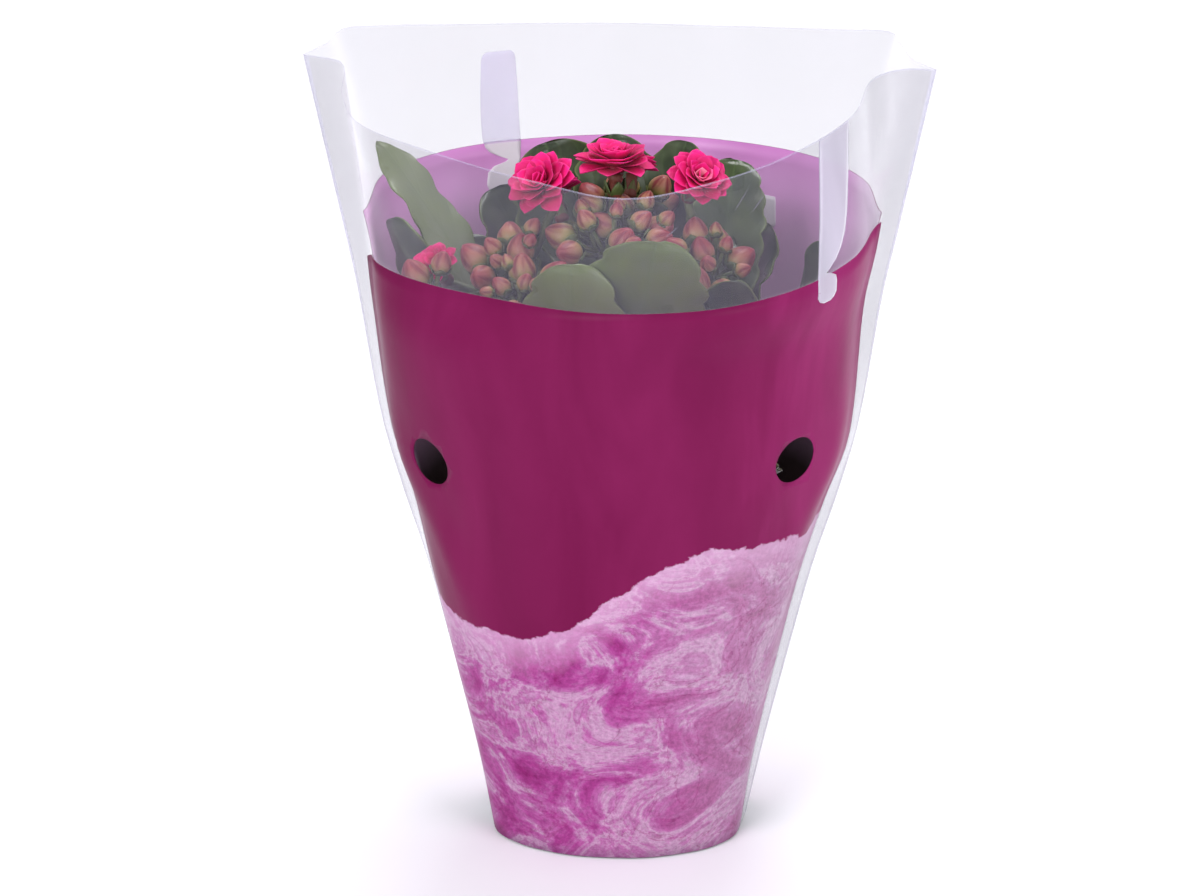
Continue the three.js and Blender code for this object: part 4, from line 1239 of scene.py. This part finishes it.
def add_bud(shape, radius, seat, upward, twist, tone):
    """A closed bud of four petals wound round each other, with its seams kept for the material."""
    tall = radius * 2 * BUD["slender"]
    matrix = basis(seat, upward)
    rings, values = [], []
    heights = shares(BUD_STEPS)[1:-1]
    for share in heights:
        wide = sin(pi * share ** 0.82) ** 0.62 * mix(0.98, 0.92, share)
        lobe = 0.09 * clamp((share - 0.15) / 0.6)
        rings.append([])
        for t in around(BUD_SIDES):
            ridge = 0.5 + 0.5 * cos(4 * t + share * 3.0 + twist)
            rings[-1].append(matrix @ polar(radius * wide * (1 - lobe * ridge ** 3), t, tall * share))
            seam = ridge ** 5 * clamp((share - 0.15) / 0.4)
            fine = (0.5 + 0.5 * cos(8 * t + share * 2.2 + 5 * twist)) ** 3 * clamp((share - 0.35) / 0.5)
            values.append((share, max(seam, 0.7 * fine), tone))
    shape.loft(rings, matrix @ Vector(), matrix @ (UP * tall))
    values += [(heights[0], 0, tone), (heights[-1], 0, tone)]
    shape.values[-len(values):] = values


def add_sepals(shape, seat, upward, radius, tall, twist):
    """Four pointed sepals that hold a bud or a flower from below."""
    matrix = basis(seat, upward)
    for number in range(4):
        place = matrix @ Matrix.Rotation(pi / 2 * number + twist, 4, "Z")
        grid = []
        for share in shares(5):
            out = radius * mix(SEPAL["foot"], SEPAL["reach"], sin(share * pi / 2) ** 0.8)
            wide = radius * SEPAL["width"] * sin(pi * mix(0.22, 0.97, share))
            lean = Vector((cos(share * 1.3), 0, -sin(share * 1.3) * 0.2)).normalized()
            thick = SEPAL["thick"] if share < 1 else SEPAL["tip_thick"]
            grid.append([])
            for side in (-1, -0.5, 0, 0.5, 1):
                bend = 1 - SEPAL["round"] * side * side
                spot = Vector((out * bend, wide * side, tall * (share - 0.06)))
                grid[-1].append((place @ (spot - lean * thick * 0.2), place @ (spot + lean * thick)))
        shape.sheet(grid)


def smooth_path(points):
    curve = Curve(points)
    return [curve.at(share) for share in shares(10)]


def bud_cluster(name, draw):
    """The stalks of a cluster with their sepals, and its buds."""
    seed, heads = CLUSTERS[name]
    corners = node_corners("bud_cluster_" + name)
    number = seeded(seed)
    top = Vector(STEMS[name][1])
    upward = (top - stem_point(name, STEM["neck_height"])).normalized()
    root = top + upward * GAP
    x, y = heads[0][0]
    fork = root.lerp(Vector((x, y, dome_height(x, y))), STALK["fork"]) - UP * 3
    stalks, buds = Shape(), Shape()
    path = smooth_path([root, root + upward * 3, fork])
    stalks.tube(path, taper(STEM["top_radius"] - 0.1, STALK["peduncle"]))
    pedicel = [STALK["pedicel"], STALK["pedicel"] * 0.9, STALK["pedicel"]]
    for head in heads:
        seats = bud_seats(head, number)
        join_count = ceil(len(seats) / STALK["per_join"])
        for join in range(join_count):
            own = seats[join::join_count]
            point = sum((seat for seat, _ in own), Vector()) / len(own) - UP * STALK["join_depth"]
            kept = []
            for seat, radius in own:
                away = (seat - point).normalized()
                tip = seat + away * (2 * radius * BUD["slender"])
                if corners.find(tip * MM)[2] < BUD["near"] * MM:
                    kept.append((seat, radius, away))
            if not kept:
                continue
            beyond = point + (point - fork).normalized()
            branch = [STALK["peduncle"] * 0.8, 1.4, STALK["branch"]]
            stalks.tube([fork, fork.lerp(beyond, 0.5), beyond], branch)
            for seat, radius, away in kept:
                stalks.tube([point, point.lerp(seat, 0.5), seat + away * 0.3], pedicel, 10)
                twist = draw() * pi
                add_bud(buds, radius, seat, away, twist, draw())
                add_sepals(stalks, seat, away, radius, radius * 0.8, twist)
    for at, facing, reach, _, stem in BLOOMS:
        if stem == name:
            add_calyx(stalks, Vector(at), Vector(facing).normalized(), reach, fork)
    return stalks, buds


def add_calyx(shape, at, facing, reach, fork):
    """The stalk of an open flower, with the swollen cup and the sepals below its petals."""
    seat = at - facing * (HEART["depth"] + GAP)
    below = seat - facing * CALYX["length"]
    foot = below + facing * 0.6
    bend = below.lerp(fork, 0.5) - UP * 2
    wide = HEART["share"] * reach * CALYX["top_share"]
    shape.tube(smooth_path([fork, bend, foot]), taper(STALK["peduncle"] * 0.8, STALK["branch"] + 0.2))
    cup = [(0, 1.0), (0.12, 1.5), (0.35, 1.35), (0.7, 1.2), (1.0, wide / CALYX["foot_radius"])]
    radii = [CALYX["foot_radius"] * size for _, size in cup]
    shape.tube([below.lerp(seat, share) for share, _ in cup], radii, 16, (0, 0, 1))
    add_sepals(shape, foot, facing, wide * 1.15, CALYX["length"] * 0.72, 0.4)


# Pot and potting mix
def pot_piece(look):
    """Turned pot with a rim band, and round holes cut in its floor."""
    shoulder = POT["height"] - POT["band"]
    base, neck, rim, wall, floor = POT["base"], POT["neck"], POT["rim"], POT["wall"], POT["floor"]
    profile = [
        (base - 6, 0), (base - 1.2, 0), (base - 0.5, 0.3), (base, 1.1),
        (mix(base, neck, 0.5), shoulder / 2), (neck, shoulder - 1.5), (neck + 0.6, shoulder - 0.8),
        (rim - 0.9, shoulder - 0.1), (rim - 0.5, shoulder + 0.3), (rim - 0.1, POT["height"] - 0.8),
        (rim - 0.2, POT["height"] - 0.2), (rim - 0.6, POT["height"]), (rim - wall, POT["height"]),
        (rim - wall - 0.5, shoulder + 1), (neck - wall, shoulder - 0.5), (base - wall, floor + 0.8),
        (base - wall - 0.8, floor), (base - 12, floor),
    ]
    shape = Shape()
    rings = [[polar(radius, t, height) for t in around(96)] for radius, height in profile]
    shape.loft(rings, Vector(), UP * floor)
    obj = shape.piece("grower_pot", look)
    for turn in around(DRAIN["count"]):
        cut_round(obj, DRAIN, polar(DRAIN["ring"], turn, 1), UP)
    return obj


def soil_shape(draw):
    """Crumbly plug with a low crown, and loose crumbs pressed into its top."""
    def inside(height):
        share = (height - POT["floor"]) / (POT["height"] - POT["band"] - POT["floor"])
        return mix(POT["base"], POT["neck"], share) - POT["wall"] - GAP - 0.3

    edge = inside(SOIL["edge"])
    profile = [(inside(SOIL["floor"]) - 1, SOIL["floor"])]
    profile += [(inside(height), height) for height in (5, 40, 79)]
    for share in (0.98, 0.93, 0.86, 0.78, 0.7, 0.61, 0.52, 0.43, 0.34, 0.25, 0.16, 0.07):
        profile.append((edge * share, mix(SOIL["crown"], SOIL["edge"], share ** 2)))
    rings = []
    for radius, height in profile:
        rings.append([])
        for t in around(SOIL["sides"]):
            place = polar(radius, t, height)
            if height > SOIL["edge"]:
                coarse, fine = Vector((*place.xy * 0.22, 4)), Vector((*place.xy * 0.6, 9))
                place.z += SOIL["lump"] * (noise.noise(coarse) + 0.5 * noise.noise(fine))
            rings[-1].append(place)
    shape = Shape()
    shape.loft(rings, UP * SOIL["floor"], UP * SOIL["crown"])
    for _ in range(CRUMBS["count"]):
        bearing, out = draw() * 2 * pi, sqrt(draw()) * CRUMBS["spread"]
        size = mix(*CRUMBS["size"], draw() ** 2)
        middle = polar(out, bearing, mix(SOIL["crown"], SOIL["edge"], (out / edge) ** 2) + 0.3)
        pale = 1.0 if draw() > CRUMBS["dark_share"] else 0.0
        squash = Vector((mix(0.7, 1.3, draw()), mix(0.7, 1.3, draw()), 0.8)) * size
        rings = []
        for level in (-0.5, 0.5):
            turns = [t + level + bearing for t in around(6)]
            rings.append([middle + squash * Vector((cos(t), sin(t), level)) for t in turns])
        shape.loft(rings, middle - UP * squash.z, middle + UP * squash.z, (0, 0, pale))
    return shape


# Build the pieces
draw = random.Random(7).random
looks = {
    "print": print_look(),
    "print_back": print_back_look(),
    "clear": clear_look("clear_film", (0.19, 0.175, 0.24), 0.158),
    # The edge look: denser than the film, and paler as a painted highlight.
    "edge": clear_look("film_edge_highlight", (0.44, 0.42, 0.60), 0.24),
    "front": clear_look("film_tab", (0.64, 0.60, 0.73), 0.7, 0.2),
    "back": tab_behind_look(),
    "leaf": leaf_look(),
    "petal": petal_look(),
    "bud": bud_look(),
    "stalk": stalk_look(),
    "pot": pot_look(),
    "soil": soil_look(),
}

for name, panel in PANELS.items():
    film = printed_film(panel).piece(f"{name}_film_print", looks["print"], looks["print_back"])
    if name == "front":
        punch(film, panel)
    stand_for(film, f"sleeve_{name}_printed_film")
    film = clear_film(panel).piece(f"{name}_film_clear", looks["clear"], looks["edge"])
    stand_for(film, f"sleeve_{name}_clear_film")

for name in TABS:
    tab = tab_sheet(name).piece(f"film_tab_{name}", looks[TABS[name][0]])
    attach(tab, "root")

for number in range(1, len(BLOOMS) + 1):
    flower = bloom_shape(number).piece(f"open_bloom_{number}", looks["petal"])
    stand_for(flower, f"bloom_{number}")

for name in STEMS:
    leaves, stalk = leafy_stem(name, draw)
    node = "leafy_stem_" + name
    stand_for(leaves.piece(f"leaves_{name}", looks["leaf"]), node)
    stand_for(stalk.piece(f"stem_{name}", looks["stalk"]), node)
    stalks, buds = bud_cluster(name, draw)
    node = "bud_cluster_" + name
    stand_for(stalks.piece(f"flower_stalks_{name}", looks["stalk"]), node)
    stand_for(buds.piece(f"buds_{name}", looks["bud"]), node)

stand_for(pot_piece(looks["pot"]), "pot")
stand_for(soil_shape(draw).piece("potting_mix_plug", looks["soil"]), "soil")


# Floor, lights and camera
def floor():
    """Plain pale floor with hardly any tone of its own."""
    look = Look("studio_floor", Roughness=0.6, Specular_IOR_Level=0.1)
    look.colour(look.ramp(look.cloud(3, 2), (0.3, (0.91, 0.905, 0.96)), (0.7, (0.93, 0.925, 0.98))))
    bpy.ops.mesh.primitive_plane_add(size=12)
    plane = bpy.context.object
    plane.name = "studio_floor"
    plane.data.materials.append(look.material)


def area_light(name, at, towards, size, power):
    data = bpy.data.lights.new(name, "AREA")
    data.size = size
    data.energy = power
    lamp = bpy.data.objects.new(name, data)
    lamp.location = at
    lamp.rotation_euler = (Vector(towards) - Vector(at)).to_track_quat("-Z", "Y").to_euler()
    bpy.context.scene.collection.objects.link(lamp)


def camera():
    azimuth, elevation = radians(CAMERA["azimuth"]), radians(CAMERA["elevation"])
    away = Vector((sin(azimuth) * cos(elevation), -cos(azimuth) * cos(elevation), sin(elevation)))
    width, height = CAMERA["picture"]
    data = bpy.data.cameras.new("camera")
    data.sensor_width = CAMERA["sensor"]
    data.lens = CAMERA["sensor"] * CAMERA["distance"] / CAMERA["mm_per_pixel"] / width
    data.shift_x = (width / 2 - CAMERA["target_pixel"][0]) / width
    data.shift_y = (CAMERA["target_pixel"][1] - height / 2) / width
    data.clip_end = 50
    eye = bpy.data.objects.new("camera", data)
    eye.location = (Vector(CAMERA["target"]) + away * CAMERA["distance"]) * MM
    eye.rotation_euler = (-away).to_track_quat("-Z", "Y").to_euler()
    bpy.context.scene.collection.objects.link(eye)
    bpy.context.scene.camera = eye


floor()
area_light("key", (-1.3, -2.3, 1.5), (0, 0, 0.15), 1.5, 60)
area_light("fill", (1.9, -1.9, 1.1), (0, 0, 0.15), 1.5, 37)
area_light("top", (0.1, 0.6, 1.8), (0, 0, 0.2), 0.9, 20)
camera()

world = bpy.data.worlds.new("studio")
world.use_nodes = True
world.node_tree.nodes["Background"].inputs["Color"].default_value = (1, 1, 1, 1)
world.node_tree.nodes["Background"].inputs["Strength"].default_value = 0.55
bpy.context.scene.world = world
bpy.context.scene.view_settings.view_transform = "Standard"
